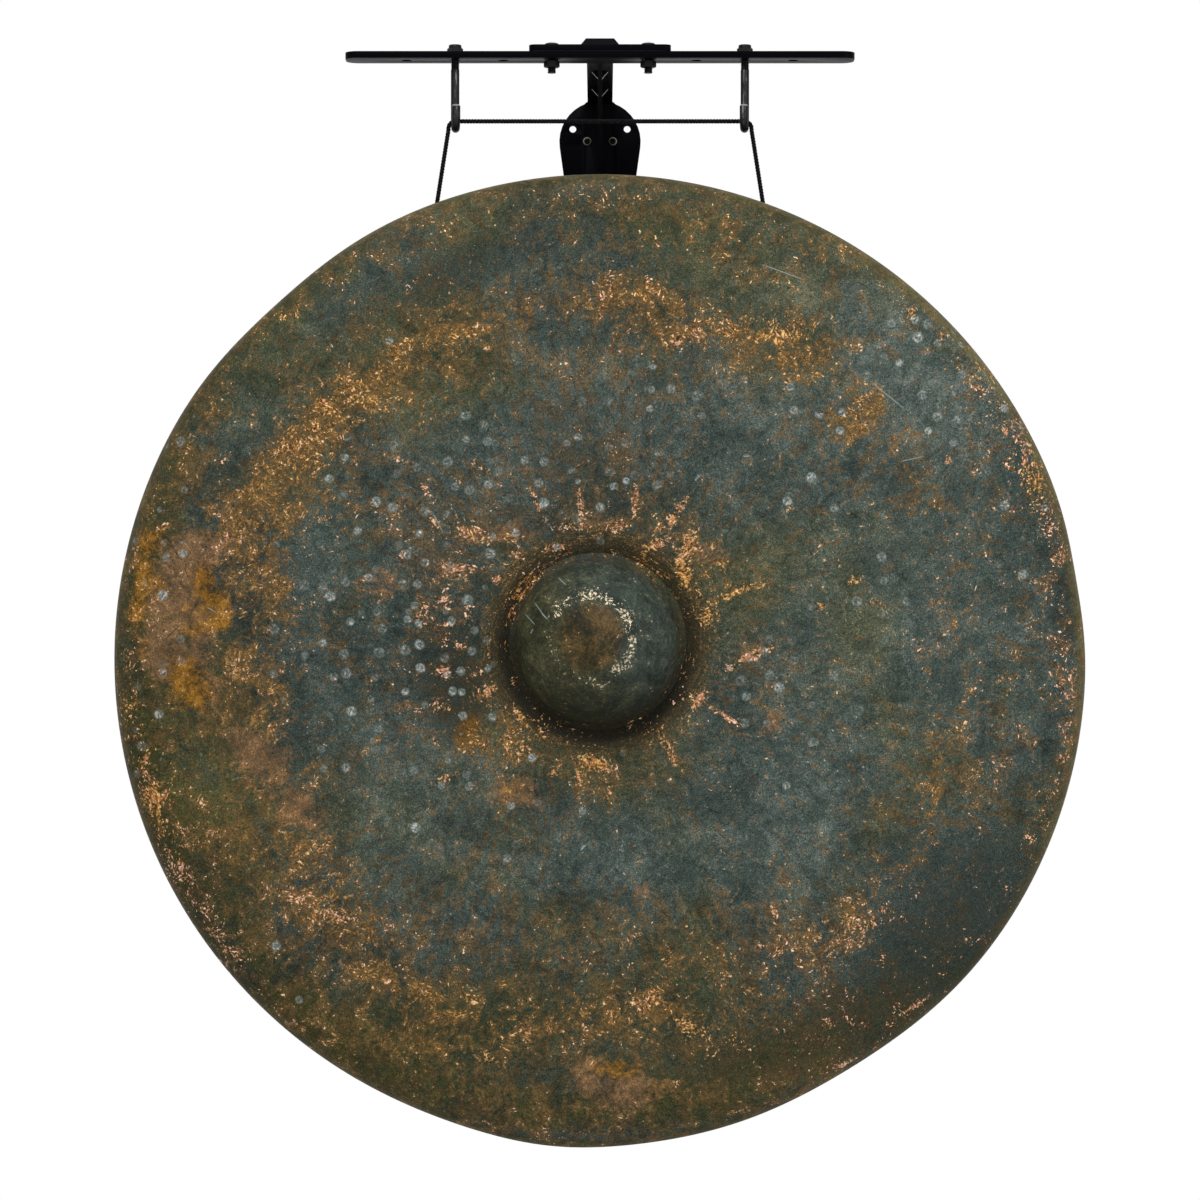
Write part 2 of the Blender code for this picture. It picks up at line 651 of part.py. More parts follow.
def rope_end():
    """Where the rope stops inside the rim hole, just short of its knot."""
    inside = hole_radius_from_axis - GONG_WALL / 2 - ROPE_GAP + ROPE_END_GAP
    rise = (hole_radius_from_axis - inside) * cos(RIM_HOLE_ANGLE)
    return inside * sin(RIM_HOLE_ANGLE), hole_height - rise


def smooth_curve(route, spacing):
    """Points read at even spacing from the smooth curve through the route's points."""
    points = []
    for index in range(len(route) - 1):
        before = route[max(index - 1, 0)]
        start, end = route[index], route[index + 1]
        after = route[min(index + 2, len(route) - 1)]
        count = max(1, round((end - start).length / spacing))
        for step in range(count):
            t = step / count
            points.append(
                0.5 * (
                    2 * start
                    + (end - before) * t
                    + (2 * before - 5 * start + 4 * end - after) * t**2
                    + (3 * start - before - 3 * end + after) * t**3
                )
            )
    return points + [route[-1]]


def make_rope(pivot):
    half = smooth_curve(rope_route(), 5 * ROPE_RADIUS)
    half.insert(-1, half[-1] + (half[-2] - half[-1]).normalized() * ROPE_END_TAPER)
    points = [Vector((-p.x, p.y, p.z)) for p in reversed(half[1:])] + half
    centre = pivot.matrix_world.translation
    radii = [ROPE_END_SHARE] + [1] * (len(points) - 2) + [ROPE_END_SHARE]
    rope = tube("rope", [p - centre for p in points], ROPE_RADIUS, 2, radii)
    finish(rope, "black_rope", pivot)


def make_knots(pivot):
    """A stopper knot behind each rim hole, square to the inside of the rim."""
    wrap = ROPE_RADIUS
    core = KNOT_RADIUS - wrap
    profile = [(0, 0), (core, 0)]
    for index in range(KNOT_WRAPS):
        middle = -wrap - 2 * wrap * index
        profile += [(core + wrap * cos(a), middle + wrap * sin(a)) for a in (0.9, 0.3, -0.3, -0.9)]
    bottom = -2 * wrap * KNOT_WRAPS
    profile += [(core, bottom), (wrap, bottom), (wrap, bottom - KNOT_TAIL), (0, bottom - KNOT_TAIL)]
    to_pivot = Matrix.Translation(gong_centre - pivot.matrix_world.translation) @ gong_facing
    under_rim = hole_radius_from_axis - GONG_WALL / 2 / cos(RIM_TAPER)
    for name, side in (("left", -1), ("right", 1)):
        knot = turned(f"rope_knot_{name}", profile, 20)
        turn = Matrix.Rotation(-side * RIM_HOLE_ANGLE, 4, "Z")
        place = Matrix.Translation((0, under_rim, -RIM_HOLE_DEPTH))
        lean = Matrix.Rotation(-pi / 2 - RIM_TAPER, 4, "X")
        knot.matrix_basis = to_pivot @ turn @ place @ lean @ Matrix.Translation((0, 0, -ROPE_GAP))
        finish(knot, "black_rope", pivot)


def make_pivot(name, location, parent=None):
    pivot = bpy.data.objects.new(name, None)
    bpy.data.collections["gong_with_wall_bracket"].objects.link(pivot)
    pivot.parent = parent
    pivot.location = Vector(location) - (parent.location if parent else Vector())
    bpy.context.view_layer.update()
    return pivot


def main():
    clear_scene()
    make_collections()
    make_materials()
    make_wall_plate()
    make_bracket_arm()
    make_foot_screws()
    make_crossbar()
    make_head_bolts()
    make_hooks()
    make_hook_nuts()
    rope_pivot = make_pivot("rope_pivot", (0, bend_y, rope_height))
    gong_pivot = make_pivot("gong_pivot", (0, bend_y, hole_height), rope_pivot)
    make_rope(rope_pivot)
    make_gong(gong_pivot)
    make_knots(gong_pivot)
    print(f"gong tilt {gong_tilt / pi * 180:.2f} degrees, centre {tuple(round(v, 4) for v in gong_centre)}")
    print(f"rope pivot {bend_y:.4f} {rope_height:.4f}, gong pivot {hole_height:.4f}")
    print(f"rim holes at x {hole_x:.4f}")


main()
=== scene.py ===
from math import atan2, cos, pi, radians, sin, sqrt, tan

import bmesh
import bpy
import numpy as np
from mathutils import Matrix, Vector


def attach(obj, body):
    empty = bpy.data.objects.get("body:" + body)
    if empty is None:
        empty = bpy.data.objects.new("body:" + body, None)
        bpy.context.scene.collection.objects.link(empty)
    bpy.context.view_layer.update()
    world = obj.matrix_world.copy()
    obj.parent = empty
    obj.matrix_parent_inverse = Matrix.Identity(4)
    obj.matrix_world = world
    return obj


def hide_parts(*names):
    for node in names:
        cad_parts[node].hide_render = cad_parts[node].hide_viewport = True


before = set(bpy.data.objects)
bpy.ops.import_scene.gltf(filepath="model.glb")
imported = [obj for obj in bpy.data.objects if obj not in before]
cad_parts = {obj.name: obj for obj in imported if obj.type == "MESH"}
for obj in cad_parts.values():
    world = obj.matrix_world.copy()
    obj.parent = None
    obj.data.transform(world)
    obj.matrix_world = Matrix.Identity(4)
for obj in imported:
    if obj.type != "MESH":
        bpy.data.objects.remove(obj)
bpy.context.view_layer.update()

print("frame loaded:", len(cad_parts), "nodes")

# places that the hanger and the gong share, in metres from the wall plate's centre
barReach = 0.286
barUnderside = 0.0412
barTop = 0.0475
hookX = 0.1362
boltX = 0.0454
rodRadius = 0.004
rodLow = -0.0242
hookBend = 0.012
hookTurn = radians(4)
bendY = -barReach - hookBend * cos(hookTurn)
seatX = hookX - hookBend * sin(hookTurn)
seatGap = 0.0003


def srgb(red, green, blue):
    levels = [value / 255 for value in (red, green, blue)]
    return tuple(v / 12.92 if v <= 0.04045 else ((v + 0.055) / 1.055) ** 2.4 for v in levels) + (1.0,)


def ease(share):
    share = np.clip(share, 0, 1)
    return share * share * (3 - 2 * share)


def fade(value, start, length):
    return ease((value - start) / length)


def bell(value, middle, width):
    return np.exp(-(((value - middle) / width) ** 2))


def awayFrom(angle, direction):
    return (angle - direction + pi) % (2 * pi) - pi


def linkedObject(name, data):
    thing = bpy.data.objects.new(name, data)
    bpy.context.scene.collection.objects.link(thing)
    return thing


def finalMesh(thing):
    # what the object's modifiers make of it, as a plain mesh
    bpy.context.view_layer.update()
    return bpy.data.meshes.new_from_object(thing.evaluated_get(bpy.context.evaluated_depsgraph_get()))


def smoothUpTo(mesh, sharpest):
    mesh.shade_smooth()
    mesh.set_sharp_from_angle(angle=sharpest)


# node helpers; an adder adds nodes to its own tree and returns one of their outputs

def feed(node, values):
    for socket, value in values.items():
        if isinstance(value, bpy.types.NodeSocket):
            node.id_data.links.new(value, node.inputs[socket])
        else:
            node.inputs[socket].default_value = value


def nodeAdder(tree):
    def add(kind, values=None, output=0, **settings):
        node = tree.nodes.new(kind)
        for key, value in settings.items():
            setattr(node, key, value)
        feed(node, values or {})
        return node.outputs[output] if node.outputs else node
    return add


def newMaterial(name, **plain):
    material = bpy.data.materials.new(name)
    material.use_nodes = True
    shader = material.node_tree.nodes["Principled BSDF"]
    feed(shader, {socket.replace("_", " "): value for socket, value in plain.items()})
    return material, nodeAdder(material.node_tree), shader


def newGroup(kind, name, inputs, outputs):
    # each socket is a name, a type and, where it has one, a first value
    tree = bpy.data.node_groups.new(name, kind)
    for side, sockets in (("INPUT", inputs), ("OUTPUT", outputs)):
        for socket, holds, *value in sockets:
            made = tree.interface.new_socket(socket, in_out=side, socket_type=f"NodeSocket{holds}")
            if value:
                made.default_value = value[0]
    return tree, nodeAdder(tree), tree.nodes.new("NodeGroupInput").outputs


def noise(add, place, scale, detail=3.0, rough=0.55, bend=0.0):
    inputs = {"Vector": place, "Scale": scale, "Detail": detail, "Roughness": rough, "Distortion": bend}
    return add("ShaderNodeTexNoise", inputs)


def maths(add, operation, first, second=0.0, clamp=False):
    return add("ShaderNodeMath", {0: first, 1: second}, operation=operation, use_clamp=clamp)


def vectors(add, operation, first, second):
    return add("ShaderNodeVectorMath", {0: first, 1: second}, operation=operation)


def scaled(add, vector, scale):
    return add("ShaderNodeVectorMath", {0: vector, "Scale": scale}, operation="SCALE")


def total(add, field, shares):
    result = None
    for name, share in shares.items():
        part = maths(add, "MULTIPLY", field[name], share)
        result = part if result is None else maths(add, "ADD", result, part)
    return result


def mixed(add, field, shares):
    # a value about a half that each field swings by its share
    return maths(add, "ADD", total(add, field, shares), 0.5 - sum(shares.values()) / 2)


def between(add, value, low, high, to=1.0):
    inputs = {"Value": value, "From Min": low, "From Max": high, "To Max": to}
    return add("ShaderNodeMapRange", inputs, interpolation_type="SMOOTHSTEP")


def contour(add, value, width, middle):
    away = maths(add, "ABSOLUTE", maths(add, "SUBTRACT", value, middle))
    return between(add, away, width, 0)


def blendTint(add, share, under, over):
    return add("ShaderNodeMix", {0: share, 6: under, 7: over}, 2, data_type="RGBA")


def ramp(add, value, stops):
    # each stop is its place and its red, green and blue
    colour = add("ShaderNodeValToRGB", {"Fac": value})
    points = colour.node.color_ramp.elements
    while len(points) < len(stops):
        points.new(0.5)
    for point, (place, *tint) in zip(points, stops):
        point.position = place
        point.color = srgb(*tint)
    return colour


def stretched(add, place, scale, turn=(0, 0, 0)):
    return add("ShaderNodeMapping", {"Vector": place, "Scale": scale, "Rotation": turn})


def attribute(add, name, output="Fac"):
    return add("ShaderNodeAttribute", {}, output, attribute_name=name)


# camera, lamps, world and floor

cameraLook = {"place": (0, -4.205, -0.5243), "lens": 125.05, "sensor": 36, "rise": 0.0517}

studio = {
    "room": 0.40, "lampTarget": (0, -0.3, -0.5),
    "floorForward": -0.4, "floorHeight": -1.55, "floorRadius": 2.4, "floorColour": srgb(240, 240, 240),
    "lamps": [  # name, place, size, watts
        ("keyLamp", (-0.9, -3.1, 2.4), 2.0, 92),
        ("fillLamp", (2.7, -2.8, 0.2), 2.4, 42),
        ("topLamp", (0.3, -0.9, 2.3), 1.8, 22),
    ],
}


def makeCamera():
    data = bpy.data.cameras.new("photoCamera")
    data.lens = cameraLook["lens"]
    data.sensor_width = cameraLook["sensor"]
    data.shift_y = cameraLook["rise"]
    camera = linkedObject("photoCamera", data)
    camera.location = cameraLook["place"]
    camera.rotation_euler = (pi / 2, 0, 0)
    bpy.context.scene.camera = camera


def makeLamps():
    target = Vector(studio["lampTarget"])
    for name, spot, size, watts in studio["lamps"]:
        data = bpy.data.lights.new(name, "AREA")
        data.shape = "DISK"
        data.size = size
        data.energy = watts
        lamp = linkedObject(name, data)
        lamp.location = spot
        lamp.rotation_euler = (target - Vector(spot)).to_track_quat("-Z", "Y").to_euler()


def makeWorld():
    # the camera sees white, and the object is lit by a dimmer room
    world = bpy.data.worlds.new("studio")
    bpy.context.scene.world = world
    world.use_nodes = True
    world.node_tree.nodes.clear()
    add = nodeAdder(world.node_tree)
    path = add("ShaderNodeLightPath").node.outputs
    seen = path["Is Camera Ray"]
    for ray in ("Is Glossy Ray", "Is Transmission Ray"):
        seen = maths(add, "MAXIMUM", seen, path[ray])
    room, white = (add("ShaderNodeBackground", {"Color": (1, 1, 1, 1), "Strength": strength})
                   for strength in (studio["room"], 1.0))
    add("ShaderNodeOutputWorld", {"Surface": add("ShaderNodeMixShader", {0: seen, 1: room, 2: white})})


def makeFloor():
    shape = bmesh.new()
    bmesh.ops.create_circle(shape, cap_ends=True, radius=studio["floorRadius"], segments=96)
    bmesh.ops.translate(shape, verts=shape.verts, vec=(0, studio["floorForward"], studio["floorHeight"]))
    mesh = bpy.data.meshes.new("floor")
    shape.to_mesh(mesh)
    shape.free()
    material, _, _ = newMaterial("paleFloor", Base_Color=studio["floorColour"], Roughness=0.9)
    mesh.materials.append(material)
    linkedObject("floor", mesh)


makeCamera()
makeLamps()
makeWorld()
makeFloor()
bpy.context.scene.view_settings.view_transform = "Standard"
print("camera, lamps and floor are set")


# coatings of the hanger

coatings = {
    # colour face on, colour at a slant (together a painted sheen with painted shade at the edges), colour of
    # painted glints, roughness, specular level, size and depth of the grain, unevenness, painted highlight
    # streaks
    "powderCoat": ((4, 4, 7), (3, 3, 6), (196, 200, 206), 0.38, 0.02, 0.0009, 0.00003, 0.08, 0.0),
    "blackZinc": ((38, 38, 39), (9, 9, 10), (200, 202, 204), 0.25, 0.06, 0.0005, 0.00001, 0.10, 0.0),
    "hookSteel": ((44, 44, 46), (6, 6, 7), (150, 152, 154), 0.30, 0.06, 0.0006, 0.00001, 0.10, 0.65),
    "brightZinc": ((8, 8, 9), (6, 6, 7), (114, 118, 106), 0.30, 0.04, 0.0006, 0.00001, 0.10, 0.0),
    "nylonRing": ((196, 196, 188), (150, 150, 144), (210, 210, 204), 0.5, 0.3, 0.0004, 0.00001, 0.05, 0.0),
}

# how the painted highlight streaks along the hooks are laid: their stretch, noise span and facing span
glintStreakLook = {"stretch": (430, 430, 75), "span": (0.50, 0.68), "facingSpan": (0.5, 0.1)}


def makeCoatGrain():
    # fine orange peel and faint cloudiness of a coated or plated surface
    tree, add, given = newGroup("ShaderNodeTree", "coatGrain", [
        ("Place", "Vector"), ("Colour", "Color", (0.02, 0.02, 0.02, 1)), ("Grain Size", "Float", 0.0006),
        ("Grain Depth", "Float", 0.00002), ("Roughness", "Float", 0.45), ("Uneven", "Float", 0.1)],
        [("Colour", "Color"), ("Roughness", "Float"), ("Normal", "Vector")])
    peel = noise(add, given["Place"], maths(add, "DIVIDE", 1.0, given["Grain Size"]), 2.0)
    cloud = noise(add, given["Place"], 60.0, 4.0, 0.6)
    drift = maths(add, "MULTIPLY", maths(add, "SUBTRACT", cloud, 0.5), given["Uneven"])
    light = maths(add, "ADD", maths(add, "MULTIPLY", drift, 2.0), 1.0)
    add("NodeGroupOutput", {
        "Colour": scaled(add, given["Colour"], light),
        "Roughness": maths(add, "ADD", given["Roughness"], drift),
        "Normal": add("ShaderNodeBump", {"Height": peel, "Distance": given["Grain Depth"], "Strength": 1.0})})
    return tree


def makeCoating(name, coatGrain):
    *tints, roughness, specular, size, depth, uneven, glintStreaks = coatings[name]
    colour, slant, bare = (srgb(*tint) for tint in tints)
    material, add, shader = newMaterial(name, Specular_IOR_Level=specular)
    spot = add("ShaderNodeTexCoord", {}, "Object")
    # darker as the surface turns away from the camera: a painted sheen face on and painted shade at the edges
    facing = add("ShaderNodeLayerWeight", {"Blend": 0.85}, "Facing")
    coat = add("ShaderNodeGroup", {
        "Place": spot, "Colour": blendTint(add, facing, colour, slant), "Grain Size": size,
        "Grain Depth": depth, "Roughness": roughness, "Uneven": uneven}, node_tree=coatGrain).node.outputs
    # faces marked paintedGlint take the glint colour as a painted highlight
    glintMask = attribute(add, "paintedGlint")
    if glintStreaks:
        # on the hooks, streaks that face the camera are painted highlights in the glint colour; the worn mask
        # carries them
        streaks = noise(add, stretched(add, spot, glintStreakLook["stretch"]), 1.0, 3.0, 0.6, 0.4)
        worn = between(add, streaks, *glintStreakLook["span"], glintStreaks)
        worn = maths(add, "MULTIPLY", worn, between(add, facing, *glintStreakLook["facingSpan"]))
        glintMask = maths(add, "MAXIMUM", glintMask, worn)
    feed(shader, {"Base Color": blendTint(add, glintMask, coat["Colour"], bare), "Roughness": coat["Roughness"],
                  "Normal": coat["Normal"]})
    return material


coatGrain = makeCoatGrain()
powderCoat, blackZinc, hookSteel, brightZinc, nylonRing = (makeCoating(name, coatGrain) for name in coatings)
print("coatings made")


# the rope comes first of the pieces: three strands laid round one taut route

rope = {
    "radius": 0.0022, "overHook": 0.0067, "height": -0.0175, "end": (0.153409, -0.098335),
    "strandRadius": 0.00108, "layRadius": 0.00112, "twistLength": 0.0086, "spacing": 0.0008,
    "routeSpacing": 0.004,
    # the lightest stop is a painted sheen, laid as light specks by the fibre noise
    "tints": [(0.35, 2, 2, 3), (0.52, 6, 6, 8), (0.66, 46, 46, 50)],
}


def ropeRoute():
    endX, endZ = rope["end"]
    lean = atan2(endX - seatX - rope["overHook"], rodLow - endZ)
    route = [Vector((seatX * share, bendY, rope["height"])) for share in (0, 0.25, 0.5, 0.75, 0.9)]
    for step in range(6):
        angle = pi / 2 - (pi / 2 + lean) * step / 5
        out, up = rope["overHook"] * cos(angle), rope["overHook"] * sin(angle)
        route.append(Vector((seatX + out, bendY, rodLow + up)))
    end = Vector((endX, bendY, endZ))
    route += [route[-1].lerp(end, share) for share in (0.15, 0.4, 0.7, 1)]
    half = smoothLine(route, rope["routeSpacing"])
    return [Vector((-p.x, p.y, p.z)) for p in reversed(half[1:])] + half


def smoothLine(route, spacing):
    points = []
    for index in range(len(route) - 1):
        before, start = route[max(index - 1, 0)], route[index]
        end, after = route[index + 1], route[min(index + 2, len(route) - 1)]
        count = max(1, round((end - start).length / spacing))
        for step in range(count):
            t = step / count
            bend = 2 * before - 5 * start + 4 * end - after
            twist = 3 * start - before - 3 * end + after
            points.append(0.5 * (2 * start + (end - before) * t + bend * t**2 + twist * t**3))
    return points + [route[-1]]


def applyTree(thing, tree, values, name):
    # runs the tree on the object with these named inputs and returns the result as a plain mesh
    modifier = thing.modifiers.new(name, "NODES")
    modifier.node_group = tree
    for socket in tree.interface.items_tree:
        if socket.in_out == "INPUT" and socket.name in values:
            modifier[socket.identifier] = values[socket.name]
    mesh = finalMesh(thing)
    mesh.name = name
    bpy.data.objects.remove(thing)
    return linkedObject(name, mesh)


def makeRopeTree():
    tree, add, given = newGroup("GeometryNodeTree", "laidRope", [
        ("Geometry", "Geometry"), ("Strand Radius", "Float"), ("Lay Radius", "Float"),
        ("Twist Length", "Float"), ("Spacing", "Float"), ("Material", "Material")],
        [("Geometry", "Geometry")])
    line = {"Curve": given["Geometry"], "Length": given["Spacing"]}
    route = add("GeometryNodeResampleCurve", line, mode="LENGTH")
    along = add("GeometryNodeSplineParameter", {}, "Length")
    turn = maths(add, "MULTIPLY", maths(add, "DIVIDE", along, given["Twist Length"]), 2 * pi)
    normal, tangent = add("GeometryNodeInputNormal"), add("GeometryNodeInputTangent")
    across = vectors(add, "CROSS_PRODUCT", tangent, normal)
    circle = add("GeometryNodeCurvePrimitiveCircle", {"Resolution": 10, "Radius": given["Strand Radius"]})
    joined = tree.nodes.new("GeometryNodeJoinGeometry")
    for strand in range(3):
        angle = maths(add, "ADD", turn, strand * 2 * pi / 3)
        ways = []
        for wave, way in (("COSINE", normal), ("SINE", across)):
            reach = maths(add, "MULTIPLY", maths(add, wave, angle), given["Lay Radius"])
            ways.append(scaled(add, way, reach))
        moved = add("GeometryNodeSetPosition", {"Geometry": route, "Offset": vectors(add, "ADD", *ways)})
        tube = add("GeometryNodeCurveToMesh", {"Curve": moved, "Profile Curve": circle, "Fill Caps": True})
        tree.links.new(tube, joined.inputs[0])
    whole = add("GeometryNodeRealizeInstances", {"Geometry": joined.outputs[0]})
    whole = add("GeometryNodeSetShadeSmooth", {"Geometry": whole, "Shade Smooth": True})
    whole = add("GeometryNodeSetMaterial", {"Geometry": whole, "Material": given["Material"]})
    add("NodeGroupOutput", {"Geometry": whole})
    return tree


def makeRopeMaterial():
    material, add, shader = newMaterial("ropeFibre", Roughness=0.8, Specular_IOR_Level=0.08)
    spot = add("ShaderNodeTexCoord", {}, "Object")
    field = {"fibre": noise(add, spot, 2600.0, 2.0, 0.6, 0.8), "fuzz": noise(add, spot, 520.0, 3.0, 0.6)}
    tone = total(add, field, {"fibre": 0.6, "fuzz": 0.4})
    bump = add("ShaderNodeBump", {"Height": field["fibre"], "Distance": 0.0003, "Strength": 0.7})
    feed(shader, {"Base Color": ramp(add, tone, rope["tints"]), "Normal": bump})
    return material


def lineObject(name, lines):
    curve = bpy.data.curves.new(name, "CURVE")
    curve.dimensions = "3D"
    for points in lines:
        spline = curve.splines.new("POLY")
        spline.points.add(len(points) - 1)
        for point, place in zip(spline.points, points):
            point.co = (*place, 1)
    return linkedObject(name, curve)


ropeFibre = makeRopeMaterial()
laidRope = makeRopeTree()


def layRope(name, lines, strandTrim=0.0, layTrim=0.0):
    values = {"Strand Radius": rope["strandRadius"] - strandTrim, "Lay Radius": rope["layRadius"] - layTrim,
              "Twist Length": rope["twistLength"], "Spacing": rope["spacing"], "Material": ropeFibre}
    return applyTree(lineObject(f"{name}Line", lines), laidRope, values, name)


def makeRope():
    route = ropeRoute()
    piece = layRope("laidRope", [route])
    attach(piece, "rope")
    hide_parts("rope")
    length = sum((b - a).length for a, b in zip(route, route[1:]))
    tuple(route[0])
    [tuple(p) for p in route]
    print(f"rope laid, {length:.3f} m")


makeRope()


# turned and ring-built shapes

def ringMesh(name, rows, steps, material, closed=False):
    # each row is (radius, height), each a number or one value per step; a radius of 0 is a pole
    angles = np.arange(steps) * 2 * pi / steps
    points, faces, starts, poles = [], [], [], []
    for radius, height in rows:
        starts.append(len(points))
        poles.append(np.isscalar(radius) and radius == 0)
        if poles[-1]:
            points.append((0.0, 0.0, float(height)))
        else:
            points += zip(radius * np.cos(angles), radius * np.sin(angles), np.broadcast_to(height, steps))
    for row in range(len(rows) if closed else len(rows) - 1):
        following = (row + 1) % len(rows)
        upper, lower = starts[row], starts[following]
        for step in range(steps):
            after = (step + 1) % steps
            if poles[row]:
                faces.append((upper, lower + step, lower + after))
            elif poles[following]:
                faces.append((upper + step, lower, upper + after))
            else:
                faces.append((upper + step, lower + step, lower + after, upper + after))
    mesh = bpy.data.meshes.new(name)
    mesh.from_pydata(points, [], faces)
    mesh.materials.append(material)
    smoothUpTo(mesh, radians(32))
    return linkedObject(name, mesh)


def tubeFaces(rings, sides):
    # faces over points that are a pole, rings of points and another pole
    ring = [(n, (n + 1) % sides) for n in range(sides)]
    faces = [(0, 1 + a, 1 + b) for a, b in ring]
    for first in range(1, 1 + (rings - 1) * sides, sides):
        second = first + sides
        faces += [(first + a, second + a, second + b, first + b) for a, b in ring]
    last = 1 + (rings - 1) * sides
    return faces + [(last + a, last + sides, last + b) for a, b in ring]


def putAt(piece, matrix):
    # the place goes into the mesh, and the object stays at the origin
    piece.data.transform(matrix)
    return piece


def hexRadius(flats, steps):
    angles = np.arange(steps) * 2 * pi / steps
    return flats / 2 / np.cos(angles % (pi / 3) - pi / 6)


def threadRows(radius, start, end, pitch, depth, steps, perTurn=8):
    # a screw thread from start down to end, fading in and out over half a turn
    angles = np.arange(steps) / steps
    rows = []
    count = max(2, round((start - end) / pitch * perTurn))
    for index in range(count + 1):
        height = start + (end - start) * index / count
        phase = (height / pitch + angles) % 1
        tooth = np.clip(1.25 - np.abs(phase - 0.5) * 3, 0, 1)
        fade = min(1, (start - height) / pitch * 2, (height - end) / pitch * 2)
        rows.append((radius - depth * (1 - tooth) * fade, height))
    return rows


def storeAttribute(mesh, name, values, domain="POINT"):
    kind = "FLOAT" if values.ndim == 1 else "FLOAT_VECTOR"
    made = mesh.attributes.new(name, kind, domain)
    made.data.foreach_set("value" if values.ndim == 1 else "vector", values.astype(np.float32).ravel())


# wall plate, arm and crossbar: the solids of the frame with eased edges

easedPlates = {  # node: name, width of the eased edge, segments
    "crossbar": ("crossbarSteel", 0.0009, 3),
    "wall_plate": ("wallPlateSteel", 0.0006, 2),
    "bracket_arm": ("castArm", 0.0006, 2),
}

glints = [  # faces that get a painted glint: lowest and highest corner of a box, the slant that its faces have, and how strong the glint is
    ((-0.02, -0.20, 0.030), (0.02, -0.08, 0.050), (0.75, 0, -0.66), 1.0),
    ((-0.07, -0.31, 0.0470), (0.07, -0.30, 0.0487), (0, -0.7, -0.7), 0.22),
]


def markGlints(mesh):
    # the ribs' sloping faces and the head plate's lower front edge are painted as highlights
    shares = np.zeros(len(mesh.polygons))
    for low, high, slant, share in glints:
        for face in mesh.polygons:
            inside = all(a <= c <= b for a, c, b in zip(low, face.center, high))
            leaning = (abs(face.normal.x), face.normal.y, face.normal.z)
            if inside and sum(n * s for n, s in zip(leaning, slant)) > 0.9:
                shares[face.index] = share
    storeAttribute(mesh, "paintedGlint", shares, "FACE")


def easedCopy(node):
    name, width, segments = easedPlates[node]
    shape = bmesh.new()
    shape.from_mesh(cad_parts[node].data)
    bmesh.ops.remove_doubles(shape, verts=shape.verts, dist=1e-6)
    bmesh.ops.dissolve_limit(shape, angle_limit=radians(1), verts=shape.verts, edges=shape.edges)
    mesh = bpy.data.meshes.new(name)
    shape.to_mesh(mesh)
    shape.free()
    piece = linkedObject(name, mesh)
    bevel = piece.modifiers.new("easedEdges", "BEVEL")
    bevel.width = width
    bevel.segments = segments
    bevel.limit_method = "ANGLE"
    bevel.angle_limit = radians(40)
    eased = finalMesh(piece)
    piece.modifiers.clear()
    piece.data = eased
    eased.materials.clear()
    eased.materials.append(powderCoat)
    smoothUpTo(eased, radians(28))
    if node == "bracket_arm":
        markGlints(eased)
    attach(piece, "bracket")
    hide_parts(node)


for plate in easedPlates:
    easedCopy(plate)
print("plates eased")


# hooks

hook = {
    "endAboveNut": 0.0002, "nutHeight": 0.008, "tipRise": 0.0089, "chamfer": 0.0012, "endGlint": 0.8,
    "threadLength": 0.024, "threadEase": 0.0001, "pitch": 0.00125, "threadDepth": 0.00062, "sides": 32,
    "bendSteps": 28, "leadIn": (0.004, 0.001), "leadOut": 0.0005,
}


def hookLine():
    # the centre line below the thread, in the hook's own plane
    centre = Vector((-hookBend, rodLow + hookBend))
    top = barTop + seatGap + hook["nutHeight"] + hook["endAboveNut"]
    points = [Vector((0, top - hook["threadLength"]))]
    points += [Vector((0, centre.y + rise)) for rise in hook["leadIn"]]
    for step in range(hook["bendSteps"] + 1):
        angle = -pi * step / hook["bendSteps"]
        points.append(centre + hookBend * Vector((cos(angle), sin(angle))))
    tip = centre + Vector((-hookBend, hook["tipRise"]))
    return points + [tip - Vector((0, hook["chamfer"] + drop)) for drop in (hook["leadOut"], 0)] + [tip], top


def makeHook(side, name):
    line, top = hookLine()
    sides, chamfer = hook["sides"], hook["chamfer"]
    angles = np.arange(sides) * 2 * pi / sides
    rows = [(rodRadius - chamfer, top), (rodRadius - hook["threadEase"], top - chamfer)]
    rows += threadRows(rodRadius, top - chamfer, top - hook["threadLength"], hook["pitch"],
                       hook["threadDepth"], sides)
    points = [(0, 0, top)]
    for radius, height in rows:
        points += zip(radius * np.cos(angles), radius * np.sin(angles), [height] * sides)
    for index in range(1, len(line)):
        ahead = line[min(index + 1, len(line) - 1)] - line[index - 1]
        across = Vector((ahead.y, -ahead.x)).normalized()
        radius = rodRadius - (chamfer if index == len(line) - 1 else 0)
        for angle in angles:
            flat = line[index] - across * radius * sin(angle)
            points.append((radius * cos(angle), *flat))
    points.append((0, *line[-1]))
    mesh = bpy.data.meshes.new(name)
    mesh.from_pydata(points, [], tubeFaces(len(rows) + len(line) - 1, sides))
    shape = bmesh.new()
    shape.from_mesh(mesh)
    bmesh.ops.recalc_face_normals(shape, faces=shape.faces)
    shape.to_mesh(mesh)
    shape.free()
    mesh.materials.append(hookSteel)
    smoothUpTo(mesh, radians(40))
    # the chamfered end of the hook gets a painted highlight
    ends = np.zeros(len(points))
    ends[-1 - 2 * sides:-1] = hook["endGlint"]
    storeAttribute(mesh, "paintedGlint", ends)
    piece = linkedObject(name, mesh)
    putAt(piece, Matrix.Translation((side * hookX, -barReach, 0)) @ Matrix.Rotation(-side * hookTurn, 4, "Z"))
    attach(piece, "bracket")
    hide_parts("hook_left" if side < 0 else "hook_right")


makeHook(-1, "hookLeft")
makeHook(1, "hookRight")
print("hooks bent")


# nuts, bolts and screws

